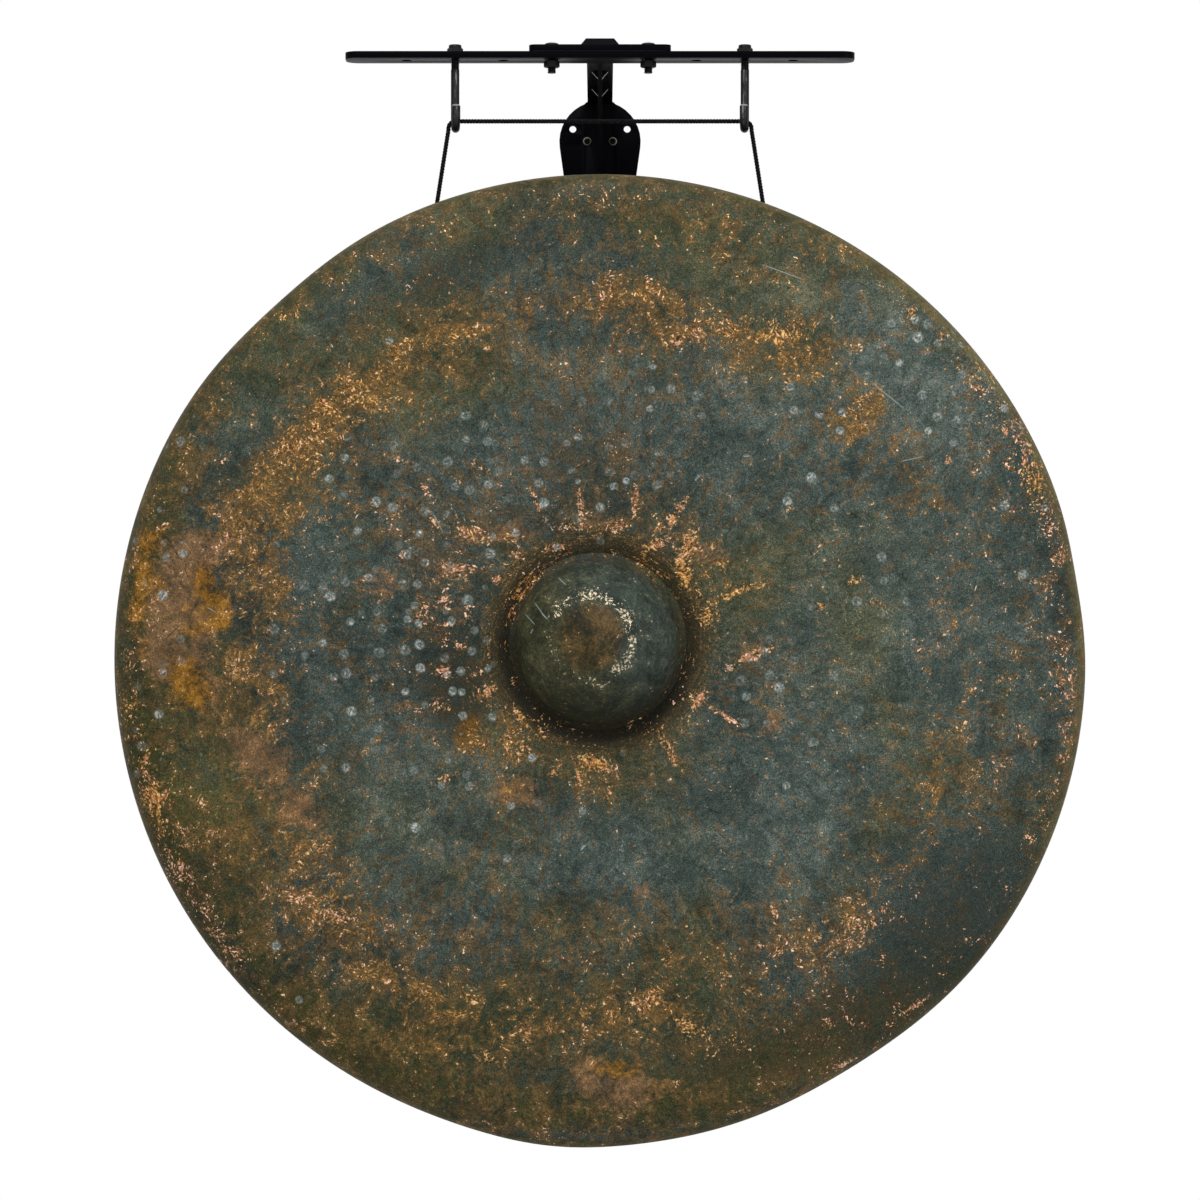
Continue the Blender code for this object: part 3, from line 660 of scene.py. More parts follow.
turnedSteps = 48
nut = {"flats": 0.013, "height": 0.0065, "bore": 0.0043, "lead": 0.0005, "cone": 0.0061, "coneDepth": 0.0007}
lockNut = {
    "hex": 0.005, "height": 0.008, "collar": 0.0061, "wall": 0.0006, "step": 0.0001,
    # the collar's rolled edge, from its outer top corner
    "roll": [(0, -0.0013), (-0.0003, -0.0005), (-0.0007, 0), (-0.0012, -0.0001), (-0.0013, -0.0004),
             (-0.0006, -0.0006)],
}
# ring: the shares of a head's radius between which a painted highlight lies on its dome
bolt = {"radius": 0.004, "length": 0.025, "head": 0.007, "headHeight": 0.0044, "pitch": 0.00125,
        "ring": (0.6, 0.84)}
screw = {"radius": 0.0025, "length": 0.010, "head": 0.0042, "headHeight": 0.0028, "pitch": 0.0008,
         "ring": (0.74, 1.01)}
headForm = {  # shares of the head's radius or height, lengths in metres, and angles up the dome
    "socket": 0.36, "socketDepth": 0.6, "drillCone": 0.0003, "socketEase": 0.0002, "rim": 0.35,
    "rimEase": 0.0003, "dome": (1.1, 0.95, 0.8, 0.65, 0.5, 0.35, 0.2, 0.1, 0), "glintRingFrom": 0.0004,
    "neck": 0.0004, "threadStart": 0.0005, "threadDepth": 0.5, "tipLength": 0.0006, "tip": 0.8,
}


def hexRows(height):
    hexagon = hexRadius(nut["flats"], turnedSteps)
    rows = []
    for share in (0, 0.35, 0.7, 1):
        cone = nut["cone"] + (nut["flats"] / 2 / cos(pi / 6) - nut["cone"]) * share
        rows.append((np.minimum(hexagon, cone), nut["coneDepth"] * share))
    return rows + [(radius, height - z) for radius, z in reversed(rows)]


def makeNut(name):
    bore, lead, height = nut["bore"], nut["lead"], nut["height"]
    rows = [(bore + lead, 0.0)] + hexRows(height)
    rows += [(bore + lead, height), (bore, height - lead), (bore, lead)]
    return ringMesh(name, rows[::-1], turnedSteps, blackZinc, closed=True)


def makeLockNut(name):
    bore, lead, collar, hexTop = nut["bore"], nut["lead"], lockNut["collar"], lockNut["hex"]
    rows = [(bore + lead, 0.0)] + hexRows(hexTop) + [(collar, hexTop + lockNut["step"])]
    rows += [(collar + out, lockNut["height"] + rise) for out, rise in lockNut["roll"]]
    rows += [(collar - lockNut["wall"], hexTop), (bore, hexTop), (bore, lead)]
    return ringMesh(name, rows[::-1], turnedSteps, blackZinc, closed=True)


def makeBolt(name, size, material):
    radius, length, head, tall = size["radius"], size["length"], size["head"], size["headHeight"]
    form = headForm
    socket = hexRadius(2 * form["socket"] * head * cos(pi / 6), turnedSteps)
    floor, rim = (1 - form["socketDepth"]) * tall, form["rim"] * tall
    dome = tall - rim
    mouth = rim + dome * sqrt(1 - form["socket"]**2)
    rows = [(0, floor - form["drillCone"]), (socket, floor), (socket, mouth - form["socketEase"]),
            (form["socket"] * head + form["socketEase"], mouth)]
    rows += [(head * cos(angle), rim + dome * sin(angle)) for angle in form["dome"]]
    rows += [(head, form["rimEase"]), (head - form["rimEase"], 0), (radius, 0), (radius, -form["neck"])]
    rows += threadRows(radius, -form["threadStart"], form["tipLength"] - length, size["pitch"],
                       size["pitch"] * form["threadDepth"], turnedSteps)
    rows += [(radius * form["tip"], -length), (0, -length)]
    piece = ringMesh(name, rows, turnedSteps, material)
    # a ring on the head is a painted highlight: a light arc on the bolt domes, a light ring round the screw
    # sockets
    low, high = size["ring"]
    x, y, z = np.array([v.co for v in piece.data.vertices]).T
    far = np.hypot(x, y) / head
    glintMask = (far > low) & (far < high) & (z > form["glintRingFrom"])
    storeAttribute(piece.data, "paintedGlint", glintMask.astype(float))
    return piece


def makePatternTree():
    # copies of one fastener at the crossings of a grid
    tree, add, given = newGroup("GeometryNodeTree", "fastenerPattern", [
        ("Geometry", "Geometry"), ("Fastener", "Object"), ("Columns", "Int"), ("Rows", "Int"),
        ("Column Spacing", "Float"), ("Row Spacing", "Float"), ("Facing", "Vector"), ("Middle", "Vector"),
        ("Material", "Material")], [("Geometry", "Geometry")])
    lines = []
    for count, spacing, axis in (("Columns", "Column Spacing", "X"), ("Rows", "Row Spacing", "Y")):
        length = maths(add, "MULTIPLY", maths(add, "SUBTRACT", given[count], 1.0), given[spacing])
        start = add("ShaderNodeCombineXYZ", {axis: maths(add, "MULTIPLY", length, -0.5)})
        step = add("ShaderNodeCombineXYZ", {axis: given[spacing]})
        line = {"Count": given[count], "Start Location": start, "Offset": step}
        lines.append(add("GeometryNodeMeshLine", line))
    grid = add("GeometryNodeInstanceOnPoints", {"Points": lines[0], "Instance": lines[1]})
    grid = add("GeometryNodeRealizeInstances", {"Geometry": grid})
    source = add("GeometryNodeObjectInfo", {"Object": given["Fastener"]}, "Geometry")
    copies = add("GeometryNodeInstanceOnPoints", {"Points": grid, "Instance": source})
    turned = add("GeometryNodeTransform", {
        "Geometry": copies, "Rotation": given["Facing"], "Translation": given["Middle"]})
    whole = add("GeometryNodeRealizeInstances", {"Geometry": turned})
    whole = add("GeometryNodeSetMaterial", {"Geometry": whole, "Material": given["Material"]})
    add("NodeGroupOutput", {"Geometry": whole})
    return tree


fastenerPattern = makePatternTree()

seats = {"headPlate": 0.006, "wallPlate": 0.005, "foot": 0.005}
footScrews = {"columns": 0.0258, "rows": 0.08, "middle": -0.0405}


def repeatFastener(source, name, values, nodes, material):
    holder = linkedObject(f"{name}Holder", bpy.data.meshes.new(f"{name}Holder"))
    values = {"Fastener": source, "Material": material, "Columns": 2, "Rows": 1, "Row Spacing": 0.0,
              "Facing": (0, 0, 0), **values}
    piece = applyTree(holder, fastenerPattern, values, name)
    bpy.data.objects.remove(source)
    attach(piece, "bracket")
    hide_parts(*nodes)


def pair(name):
    return [f"{name}_left", f"{name}_right"]


def onBar(x, height):
    return {"Column Spacing": 2 * x, "Middle": (0, -barReach, height)}


def makeFasteners():
    headTop = barTop + seatGap + seats["headPlate"]
    repeatFastener(makeBolt("boltSource", bolt, blackZinc), "headBolts", onBar(boltX, headTop + seatGap),
                   pair("head_bolt"), blackZinc)
    repeatFastener(makeNut("nutSource"), "headNuts", onBar(boltX, barUnderside - seatGap - nut["height"]),
                   pair("head_nut"), blackZinc)
    repeatFastener(makeLockNut("lockNutSource"), "hookNuts", onBar(hookX, barTop + seatGap),
                   pair("hook_nut"), blackZinc)
    footFront = -seats["wallPlate"] - seats["foot"] - 2 * seatGap
    repeatFastener(makeBolt("screwSource", screw, brightZinc), "footScrews", {
        "Column Spacing": footScrews["columns"], "Rows": 2, "Row Spacing": footScrews["rows"],
        "Facing": (pi / 2, 0, 0), "Middle": (0, footFront, footScrews["middle"])},
        pair("foot_screw_upper") + pair("foot_screw_lower"), brightZinc)
    for node in pair("hook_nut_insert"):
        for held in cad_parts[node].material_slots:
            held.material = nylonRing


makeFasteners()
print("fasteners set")


# the gong

gong = {
    "radius": 0.4567, "wall": 0.0029, "rimDepth": 0.1198, "rimTaper": radians(11), "shoulder": 0.032,
    "ridge": 0.335, "ridgeHeight": 0.006, "bandSlope": radians(10),
    "boss": 0.077, "bossHeight": 0.066, "bossDrop": 0.0002, "bossSweep": radians(84), "groove": 0.022,
    "grooveDepth": 0.006, "bossShift": (-0.0024, 0.0208), "tilt": 0.0522676,
    "centre": (0, -0.3175978, -0.5260553),
    "holeRadius": 0.0045, "holeAngle": radians(19.8), "holeDepth": 0.042, "holeFromAxis": 0.453983,
    "drill": 0.024,
    "turns": 320, "spacing": 0.0031, "insideStep": 3.1, "lipRound": 0.0001,
}

hammering = {
    "blows": 620, "depth": 0.0006, "seed": 11, "reach": 0.43, "size": (0.012, 0.034), "force": (-0.4, 1),
    "cutOff": 2.4, "steepness": 1.2, "fadeIn": (0.004, 0.03), "fadeOut": (0.415, 0.05),
    "lobeRadius": 0.457, "lobes": [  # direction and width in degrees, height in metres
        (264, 10, 0.0039), (302, 14, -0.0056), (132, 11, -0.0046), (10, 7, -0.0026),
    ],
}

# patches that the patina shows, in centimetres from the middle of the face:
# across, up, half length, half width, turn in degrees, strength
patches = {
    "worn": [
        (-23, -14, 5, 5, 0, .5), (-24, -21, 4, 4, 0, .4), (30, -20, 5, 3, 70, .4), (-31, 16, 7, 4, 60, .9),
        (-28, 20.5, 6, 2.6, 45, .9), (-23.5, 24.5, 4.5, 2.2, 50, 1), (-18, 28, 6, 2.6, 40, .8),
        (-13, 31.5, 6, 2.5, 15, .65), (-3, 33, 6, 2, 5, .45), (4, 34, 6, 3, -15, .85),
        (8, 31.5, 5, 2.2, 15, .9), (17, 30.5, 6, 3, -10, 1), (13, 37, 4, 2, -20, .6), (20, 29, 4, 3, 0, .8),
        (14, 27, 5, 2, 20, .5), (24, 23.5, 4.5, 2.8, 30, 1), (28, 19, 5, 3, 90, .6), (30, 15.5, 3, 3, 0, .5),
        (31, 5, 7, 3, 90, .75), (32.5, 0, 7, 2.6, 90, .7), (32, -8, 6, 2.2, 90, .5), (30, -15, 6, 3, 70, .6),
        (26, -20, 6, 2.5, 30, .5), (23, -24.5, 6, 2.5, 40, .55), (20, -27, 5, 2, 20, .55),
        (14, -27, 4, 2, 30, .5), (9, -27.5, 4, 2, 40, .5), (5, -26, 4, 1.5, 90, .4),
        (7, -33, 5, 2.5, -30, .85), (1, -33, 6, 2.2, 0, .75), (-4, -34, 5, 2, 0, .5),
        (-12, -33, 7, 2.5, -10, .7), (-17, -35, 5, 2.5, -10, .7), (-20, -30, 6, 2.5, -30, .7),
        (-26, -23.5, 5, 2.2, -15, 1), (-21, -27.5, 5, 2, -40, .7), (-28, -18, 5, 3, -60, .6),
        (-31, -13, 4, 3, -50, .6), (-33, -17, 3, 2, 0, .55), (-37, -16.5, 3, 2, 60, .6),
        (-34, -5, 5, 4, 90, .5), (-31, 3, 5, 4, 70, .6), (-32, -2, 5, 3.4, 80, .6), (-30, 7, 4, 3, 40, .6),
        (-29, -9, 6, 4, 80, .45), (34, 12, 6, 4, 80, .4), (-32, 10, 5, 4, 50, .75), (-27, 12, 5, 3, 40, .6),
        (-35, 14, 4, 3, 0, .5), (-35.5, 23, 2.5, 1.6, 45, .85), (-15, 22, 6, 3, -50, .45),
        (-22, 14, 4, 2, 0, .3), (-14, 25, 4, 2, 60, .35), (-12, 39, 8, 2, 15, .35),
        (-2, 39.5, 7, 1.6, -3, .15), (-22, 36.5, 8, 2, 28, .3), (10.5, 40, 5, 2, 0, .5),
        (22, 38.5, 5, 1.2, -35, .4), (31, 29, 6, 1.4, -45, .5), (37, 24, 6, 1.3, -55, .45),
        (41.5, 14, 7, 1.2, -75, .45), (43.5, 2, 8, 1.2, 90, .5), (44, -8, 6, 1.1, 85, .5),
        (41.5, -15, 4, 1.2, 70, .5), (38, -21, 5, 1.3, 60, .45), (28, -35, 6, 1.2, 35, .35),
        (15, -42, 6, 1.2, 18, .4), (-5, -43.5, 8, 1.2, 0, .3), (-25, -36, 8, 2, -35, .4),
        (-35, -27, 7, 2, -55, .45), (-41, -14, 7, 1.5, -75, .45), (-43.5, -3, 6, 1.2, 90, .4),
        (-43, -10, 5, 1.2, -80, .4), (-33, 30, 8, 1.5, 45, .4), (-39, 19, 5, 1.5, 65, .4),
        (-1, 14, 10, 2, 0, .45), (10, 10, 4, 3, -40, .6), (12, 7, 4, 2, 30, .6), (-14, 5, 6, 3, 90, .4),
        (-10, -6, 4, 3, 45, .6), (-5, -9, 6, 3, -20, .6), (1, -12, 3, 2.5, 0, .4), (9, -2, 3, 1.5, 50, .5),
        (6, -7, 3, 2, -50, .5), (4, 16, 5, 1.5, 45, .5), (7, 13, 4, 1.5, 60, .6), (-20, 7.5, 3.5, 1.8, 0, .5),
    ],
    "pink": [
        (-38.4, 9.4, 4, 3, 50, .85), (-41.2, 3, 3.6, 2, 80, .15), (-40, .4, 3.4, 2.4, -35, .95),
        (-36.8, 3.7, 1.6, 1.3, 0, .7), (-37.3, 1.2, 1.6, 1, 80, .7), (-36.2, -2.6, 1.8, .9, 90, .7),
        (-39, 5.4, 3.2, 2.4, 0, .6), (-33, -8, 3, 2, -50, .7), (-30.5, -9, 2.5, 2, 0, .6),
        (-28, -13.5, 3.5, 1.8, -30, .75), (0, -39, 4, 2.4, -10, .6), (3.5, -40.5, 3, 1.6, 20, .6),
        (-20, 7.5, 3, 1.5, 0, .5), (-7.5, -12, 3, 1.8, 0, .7), (-8, 12.3, 2, 1, 0, .8),
        (-12, 12, 2.5, 1.2, 0, .7), (0, 13, 3, .8, 0, .7), (10.5, 10, 1.5, 1, 0, .6),
        (14, 1.3, 2.5, .8, 20, .6), (16, -5.5, 1.5, 1, 40, .6), (4, -21, 2, .8, 40, .4),
        (-14, 8.7, 1.5, .8, 0, .6), (-13, 5, 1.5, 1, 90, .6), (5.5, 16, 1.2, 2, 0, .5),
    ],
    "ochre": [
        (-41.7, 11.6, 1.6, 1.2, 45, .8), (-42.6, 8.2, 2.6, 1.1, 78, .85), (-40.9, 7.2, 1.4, .7, 85, .7),
        (-36.9, 7.9, 1.8, 1.2, 90, .95), (-36.1, 6, 1.4, 1.2, 0, .9), (-35.3, 3.8, 1, .9, 0, .85),
        (-38.4, 4.9, 1, .8, 0, .65), (-38.2, 3, 1.1, .8, 0, .65), (-36.8, 3.6, 1.4, 1, 30, .6),
        (-39.6, .6, 2, 1, -35, .4), (-38.6, -1.2, 2.2, 2, 60, .95), (-37.5, -3.2, 2, 1.4, 30, .8),
        (-43.2, 4.6, 1.6, .9, 80, .7), (-34.6, 5.3, 1.2, .8, -50, .6), (-12.3, -6.2, 2, 1.3, 60, .95),
        (1.5, -38, 2.6, 1.2, 0, .75), (5, -40, 2, .8, 30, .5), (-8, -11.5, 2, 1, 0, .5),
        (-26, -23.5, 3, 1.2, -15, .35), (-42.6, 1.4, 1.4, .8, 80, .6),
    ],
    "olive": [
        (-38, -22, 8, 6, 50, .9), (-30, -30, 8, 5, -45, .75), (-42, -15, 8, 4, -75, .7),
        (-20, -38, 12, 4, -22, .8), (-28, 35, 14, 4, 38, .75), (-40, 17, 8, 3, 70, .6),
        (0, 42, 18, 3, 0, .65), (0, -42, 16, 3, 0, .9), (16, -38, 10, 4, 20, .75), (22, 36, 8, 3, -35, .4),
        (44, -10, 14, 2, 85, .3), (-35, -5, 10, 4, 90, .4), (-14, -34, 9, 3, -10, .4),
        (30, -33, 8, 4, 42, .5), (0, -30, 26, 10, 0, .5), (-32, -10, 16, 9, 90, .5), (-43, -2, 20, 4, 90, .8),
        (-32, -31, 12, 4, -45, .8), (0, 37, 22, 5, 0, .6), (0, -36, 24, 6, 0, .5), (32, -27, 10, 7, 45, .5),
        (-38, 8, 18, 8, 85, .55), (-18, -18, 14, 10, -30, .3), (18, -20, 14, 9, 30, .25),
        (-18, 12, 14, 12, 0, .15),
    ],
    "pale": [
        (4.6, 13.6, 5, 4, 0, .3), (32, 13.5, 6, 5, 0, .5), (-13.7, 23, 5, 4, 0, .3), (19, 23, 7, 4, 0, .35),
        (14, 32, 4, 3, 0, .3), (41, 5, 8, 3, 88, .5), (22, -13, 6, 5, 0, .3), (28, 26, 16, 9, -45, .7),
        (33, 8, 16, 9, 88, .75), (22, -8, 12, 8, 60, .4), (10, 24, 8, 6, 0, .2), (-12, 20, 14, 8, 30, .35),
        (-21, -11, 9, 8, 0, .7), (-14, 14, 10, 7, 0, .6), (-16, -14, 8, 6, 0, .5), (24, 23, 9, 5, -45, .5),
        (10, -20, 10, 6, 0, .25), (22, 13, 12, 7, 0, .45),
    ],
    # darker patches: partly darker patina, partly painted shade where the face is turned from the light, the
    # lower face among them
    "dark": [
        (-26.5, 10, 3, 2.6, 0, .55), (-30.5, -9, 2.4, 1.8, 0, .3), (-23, 32, 5, 4, 38, .4),
        (23, -33, 6, 4, 30, .35), (13, -33, 5, 4, 10, .25), (9, -12, 4, 3, 0, .35),
        (14, -13.5, 4, 2.5, -30, .45), (23, 9, 2, 1.5, 0, .5), (12, -37.5, 8, 3, 15, .55),
        (25, -31, 6, 4, 30, .5), (38, -18, 6, 4, 70, .45), (-14, 1, 5, 4, 90, .4), (-40, -19, 4, 4, 0, .45),
        (-35, -21, 3, 2.5, 0, .5), (-18, 0, 5, 3, 0, .3), (-2, 18, 5, 2, 0, .4), (13, 18, 3, 2, 0, .4),
        (5, 36, 6, 2, 0, .3), (-30, 27, 6, 2, 40, .4), (-16, 35, 7, 2, 20, .35), (22, 28, 3, 2, 0, .35),
        (-8, -38, 6, 2, 0, .4), (28, 34, 5, 2, -40, .4), (-27, 22, 2, 1.5, 0, .3), (33, -25, 10, 7, 48, .75),
        (0, 43.6, 22, 1.6, 0, .5), (0, 38, 16, 3, 0, .35), (-1, 23, 10, 5, 0, .55), (30, -19, 6, 5, 70, .35),
        (-14, 0, 4, 6, 0, .35), (-13, -4, 5, 4, 80, .7), (-12, 38, 8, 2.6, 15, .5), (-14, 32, 4, 4, 0, .35),
        (34, -33, 7, 4, 45, .5), (20, -38, 10, 4, 25, .4), (-4, 12, 4, 2, 0, .3), (-40, 22, 7, 3, 65, .35),
        (-41.6, 3, 1.8, 1.4, 80, .5),
    ],
    "calm": [
        (-32.5, 23, 4, 3, 45, .6), (14, 33, 5, 4, 0, .4), (41, -5, 4, 3, 90, .5), (-26.5, 10, 4, 3, 80, 1),
        (-28, 2.2, 3, 2.6, 0, .45), (-26.5, -4, 4, 3, 80, .45), (34, 8, 13, 7, 88, .35),
        (27, 0, 10, 8, 60, .6), (12, 22, 8, 5, 0, .45), (16, 15, 8, 6, 0, .45), (-12, 37, 8, 2.6, 15, .5),
        (2, 38.5, 8, 2.4, -5, .4), (15, -10, 8, 6, -20, .7), (2, -18, 9, 4, 0, .7), (-17, -14, 7, 6, 0, .6),
        (-20, 3, 3, 8, 0, .4), (18, 4, 3, 5, 0, .5), (29, 27, 10, 6, -45, .5), (33, -22, 9, 6, 50, .8),
        (-12, 22, 6, 4, 30, .5), (14, -17, 9, 5, 0, .5), (-25, 33, 7, 2, 38, .5), (25, 9, 6, 5, 0, .6),
        (-35, -12, 5, 4, 0, .3), (11, 2, 2.4, 7, 0, .5),
    ],
    "dimpled": [
        (-16, 3, 14, 8, 90, .9), (-24, 4, 10, 5, 90, .6), (-24, 14, 6, 5, 0, .5), (-5, 19, 11, 4, 0, .8),
        (3, 21, 6, 5, 0, .6), (-10, 15, 6, 5, 0, .7), (15, 23, 5, 4, 0, .5), (24, 20, 6, 5, 90, .45),
        (32, 26, 8, 5, -45, .9), (27, 29, 6, 2, 0, .65), (-41, 12, 10, 3, 90, .5), (-39, 20, 4, 3, 0, .55),
        (-42, -5, 6, 2, 90, .5), (15, -2, 5, 4, 90, .75), (20, -4, 4, 3, 0, .45), (-5, -16, 5, 3, 0, .6),
        (4, -16, 3, 2, 0, .3), (-27, -4, 4, 3, 0, .3), (36, 17, 6, 3, -60, .35), (0, 28, 12, 3, 0, .2),
        (24, 5, 5, 6, 0, .25), (-10, -10, 8, 4, 0, .2), (-28, -28, 5, 4, 0, .15), (40, 8, 5, 3, 90, .25),
    ],
    "flecked": [
        (-0.24, 2.1, 17, 16, 0, .45), (39, 5, 22, 4, 88, .7), (40, 20, 10, 4, -55, .6),
        (22, -27, 14, 6, 40, .6), (-12, 39, 16, 2.5, 18, .35), (8, 39, 12, 2.5, -15, .3),
        (-40, -14, 16, 3, -70, .6), (25, 3, 10, 8, 0, .5), (-22, -25, 12, 7, -30, .45),
        (0, -30, 16, 5, 0, .45), (-26, 24, 12, 5, 45, .5), (10, 31, 14, 4, 0, .6), (-20, 5, 12, 14, 0, .4),
        (30, -33, 10, 4, 42, .35), (-40, 5, 8, 4, 90, .35),
    ],
    "gold": [
        (-5.8, 14.9, 1.9, .3, -63, .8), (-1.8, 15.1, 1.6, .3, 95, .8), (3.3, 15.3, 1.7, .35, 85, .8),
        (7, 13.9, 2.2, .4, 55, .9), (5.2, 11.2, 1.6, .6, 20, .8), (8.1, 10.8, 1.6, .9, 70, .8),
        (7.8, 8.4, 1.6, .6, -70, .9), (11.1, 9.6, .9, .9, 0, .6), (13.1, 6.9, 2.7, .5, 20, .8),
        (10.3, 4.5, 1.2, 1.1, 0, .7), (14.4, .9, 2, .5, 22, 1), (12.1, -.4, .5, .4, 0, .9),
        (9.3, -3.4, 1.3, .6, 50, .8), (11.9, -5, 1.9, .22, -30, 1), (6.4, -8.1, 2, .45, -60, .8),
        (-.5, -9.3, 1.7, .8, -10, .9), (-1.9, -10.7, .6, .8, 0, .7), (.8, -12.5, 1.3, .5, 90, .6),
        (-4.3, -10.1, 1, .35, 40, .8), (-7.4, -5, 1.5, .35, -60, .9), (-7.4, -8, 1.7, 1.2, 0, .5),
        (-11.9, -6.5, 1.8, .6, 50, .6), (-10.6, -2.6, 1.3, .6, 30, .8), (-14.7, -10.8, 1.7, .25, 20, 1),
        (-14.6, -.7, .9, .7, 0, .9), (-14.9, -3.8, .9, .8, 0, .6), (-13, 9, 2.3, .45, 0, .8),
        (-9.6, 7.9, .5, .6, 0, .9), (-11.9, 12.2, 1.8, .9, -20, .7), (-8.2, 11.8, 1.2, .7, 0, .6),
        (-7.6, 10.2, .8, .7, 0, .6), (-2.5, 12.7, 2.1, .5, 0, .6), (1.6, 13, 1.4, .7, 0, .7),
        (-4, 10.9, 1.5, .35, 8, .9), (-14.5, 5.7, .9, .7, 0, .8), (-12.3, 4.7, 1, .5, 80, .7),
        (-14.3, 3.7, .9, .35, 5, .9), (-12.9, 1.7, 1, .5, -10, .7), (23.5, 7.6, .9, .25, 15, .9),
        (20.6, 5.4, .4, .4, 0, .8), (17.6, 14.7, .5, .3, 20, .8), (29, 32.6, .6, .6, 0, .9),
        (16.2, 35.6, .7, .25, 60, .8), (33.4, 27.7, .8, .6, 0, .6), (32.4, 19.1, .6, .25, 45, .9),
        (-28.7, 28, .3, .3, 0, 1), (-25.6, 29.5, .9, .2, -10, .8), (-29.9, 26.3, .5, .2, -20, .8),
        (-35, 18.8, 1, .25, 80, .7), (-25.5, 13.6, 1, .28, 5, .9), (-19, 19.2, 1.3, .2, -20, .8),
        (-16.2, 16.2, 1.2, .2, -60, .9), (-15.4, 13.3, 1.5, .22, -57, .9), (-18.4, 10.2, .6, .35, 55, 1),
        (-22.8, 23.1, .5, .2, -60, .8), (-10.8, 18.1, .6, .5, 0, .5), (6.2, -27.9, 1.4, .32, 75, 1),
        (16.3, -23.4, 1, .32, -65, .9), (14.9, -26.3, .6, .3, 80, .8), (25.1, -23.4, .5, .3, 80, .8),
        (23.5, -25, 2, 1.6, 0, .45), (21.3, -27.2, .6, .3, -50, .8), (5.2, -31.5, 1, .5, -30, .8),
        (8.6, -34.1, 2.3, .9, -30, .75), (14.2, -30.5, .5, .4, 0, .8), (21.4, -33.6, 1, .4, -25, .7),
        (22.9, -37.8, 1.3, .3, 25, .8), (29.5, -32.2, 1.7, .25, 30, .8), (2.7, -28.5, .4, .25, 0, .8),
        (3.2, -25.6, .5, .3, -30, .7), (8.3, -24.6, .5, .2, -30, .7), (-10.5, -36.9, 1.6, .5, -25, .6),
        (17, -39.7, .5, .25, 0, .7), (-24, -23.6, 3, .5, -10, .7), (-28, 20.5, 2.5, .6, 45, .5),
        (-23, 24.5, 2.5, .6, 50, .6), (17, 31, 3, .8, -20, .55), (24, 24, 2, .9, 30, .5),
    ],
}

gongPaint = {
    # start and length of each fade
    "bossFade": (0.070, 0.012), "sideFade": (0.012, 0.014), "underShadeFade": (-0.004, 0.045),
    "edgeFade": (0.4425, 0.008), "edgeDepthFade": (0.022, 0.01), "tipFade": (0.58, 0.6),
    # distance from the boss and width
    "rings": {"groove": (0.008, 0.0145), "ring": (0.019, 0.014), "arcs": (0.009, 0.012)},
    "grooveShadeSide": (0.80, -0.30, 0.15), "arcSides": [(138, 30), (50, 24)], "arcShares": (0.55, 0.45),
    "tip": (-0.0085, 0.0275), "tipSize": (0.037, 0.0385), "halo": (1.02, 0.17),
    "haloSide": (0.76, 0.24, radians(45)),
    # direction and width in radians
    "top": (1.75, 0.5), "right": (0.25, 0.75), "left": (3.5, 0.7),
    "bareTop": 0.45, "litRightEdge": 2.2, "rimFlecks": (0.438, 0.012), "sideFlecks": 0.4,
    "fleckShares": (0.30, 0.26, 0.06, 0.42),  # everywhere, to the right, at the top, to the left
}


def gongProfile():
    # the outer side of the shell from the boss to the rim's edge, as (radius, height)
    g = gong
    base, start = -g["grooveDepth"], g["boss"] + g["groove"]
    points = [(g["boss"] * sin(a), base + g["bossHeight"] * cos(a) - g["bossDrop"])
              for a in (g["bossSweep"] * n / 16 for n in range(17))]
    for share in (0.2, 0.32, 0.45, 0.58, 0.72, 0.86, 1):
        points.append((g["boss"] + g["groove"] * share, base * cos(pi / 2 * share) ** 2))
    for share in np.linspace(0.1, 1, 10):
        points.append((start + (g["ridge"] - start) * share, g["ridgeHeight"] * float(ease(share))))
    band = g["radius"] - g["shoulder"] * (1 - sin(g["bandSlope"])) - g["ridge"]
    for share in (0.2, 0.4, 0.6, 0.8, 1):
        drop = tan(g["bandSlope"]) * band * share**2 / 2
        points.append((g["ridge"] + band * share, g["ridgeHeight"] - drop))
    middle = (g["radius"] - g["shoulder"], points[-1][1] - g["shoulder"] * cos(g["bandSlope"]))
    for n in range(1, 13):
        angle = pi / 2 - g["bandSlope"] - (pi / 2 - g["bandSlope"] + g["rimTaper"]) * n / 12
        points.append((middle[0] + g["shoulder"] * cos(angle), middle[1] + g["shoulder"] * sin(angle)))
    endRadius, endHeight = points[-1]
    for share in (0.25, 0.5, 0.75, 1):
        depth = share * (g["rimDepth"] + endHeight)
        points.append((endRadius - depth * tan(g["rimTaper"]), endHeight - depth))
    return points


def evenRows(points, spacing):
    # the profile read again at even spacing, on the smooth curve through its points
    line = smoothLine([Vector((r, z, 0)) for r, z in points], spacing / 6)
    line = np.array([(p.x, p.y) for p in line])
    along = np.concatenate([[0], np.cumsum(np.hypot(*np.diff(line, axis=0).T))])
    count = round(along[-1] / spacing)
    wanted = np.linspace(0, along[-1], count + 1)
    return np.column_stack([np.interp(wanted, along, column) for column in line.T]), wanted


def insideOf(outer, wall):
    step = np.gradient(outer, axis=0)
    step /= np.hypot(step[:, 0], step[:, 1])[:, None]
    inner = outer + wall * np.column_stack([step[:, 1], -step[:, 0]])
    inner[:, 0] = np.maximum(inner[:, 0], 0)
    return inner


def patchStrength(across, up, patches):
    left = np.ones_like(across)
    for x, y, length, width, turn, strength in patches:
        dx, dy = across - x / 100, up - y / 100
        c, s = cos(radians(turn)), sin(radians(turn))
        far = ((dx * c + dy * s) / (length / 100)) ** 2 + ((dy * c - dx * s) / (width / 100)) ** 2
        left *= 1 - strength * np.exp(-(far**1.3) * 0.8)
    return 1 - left


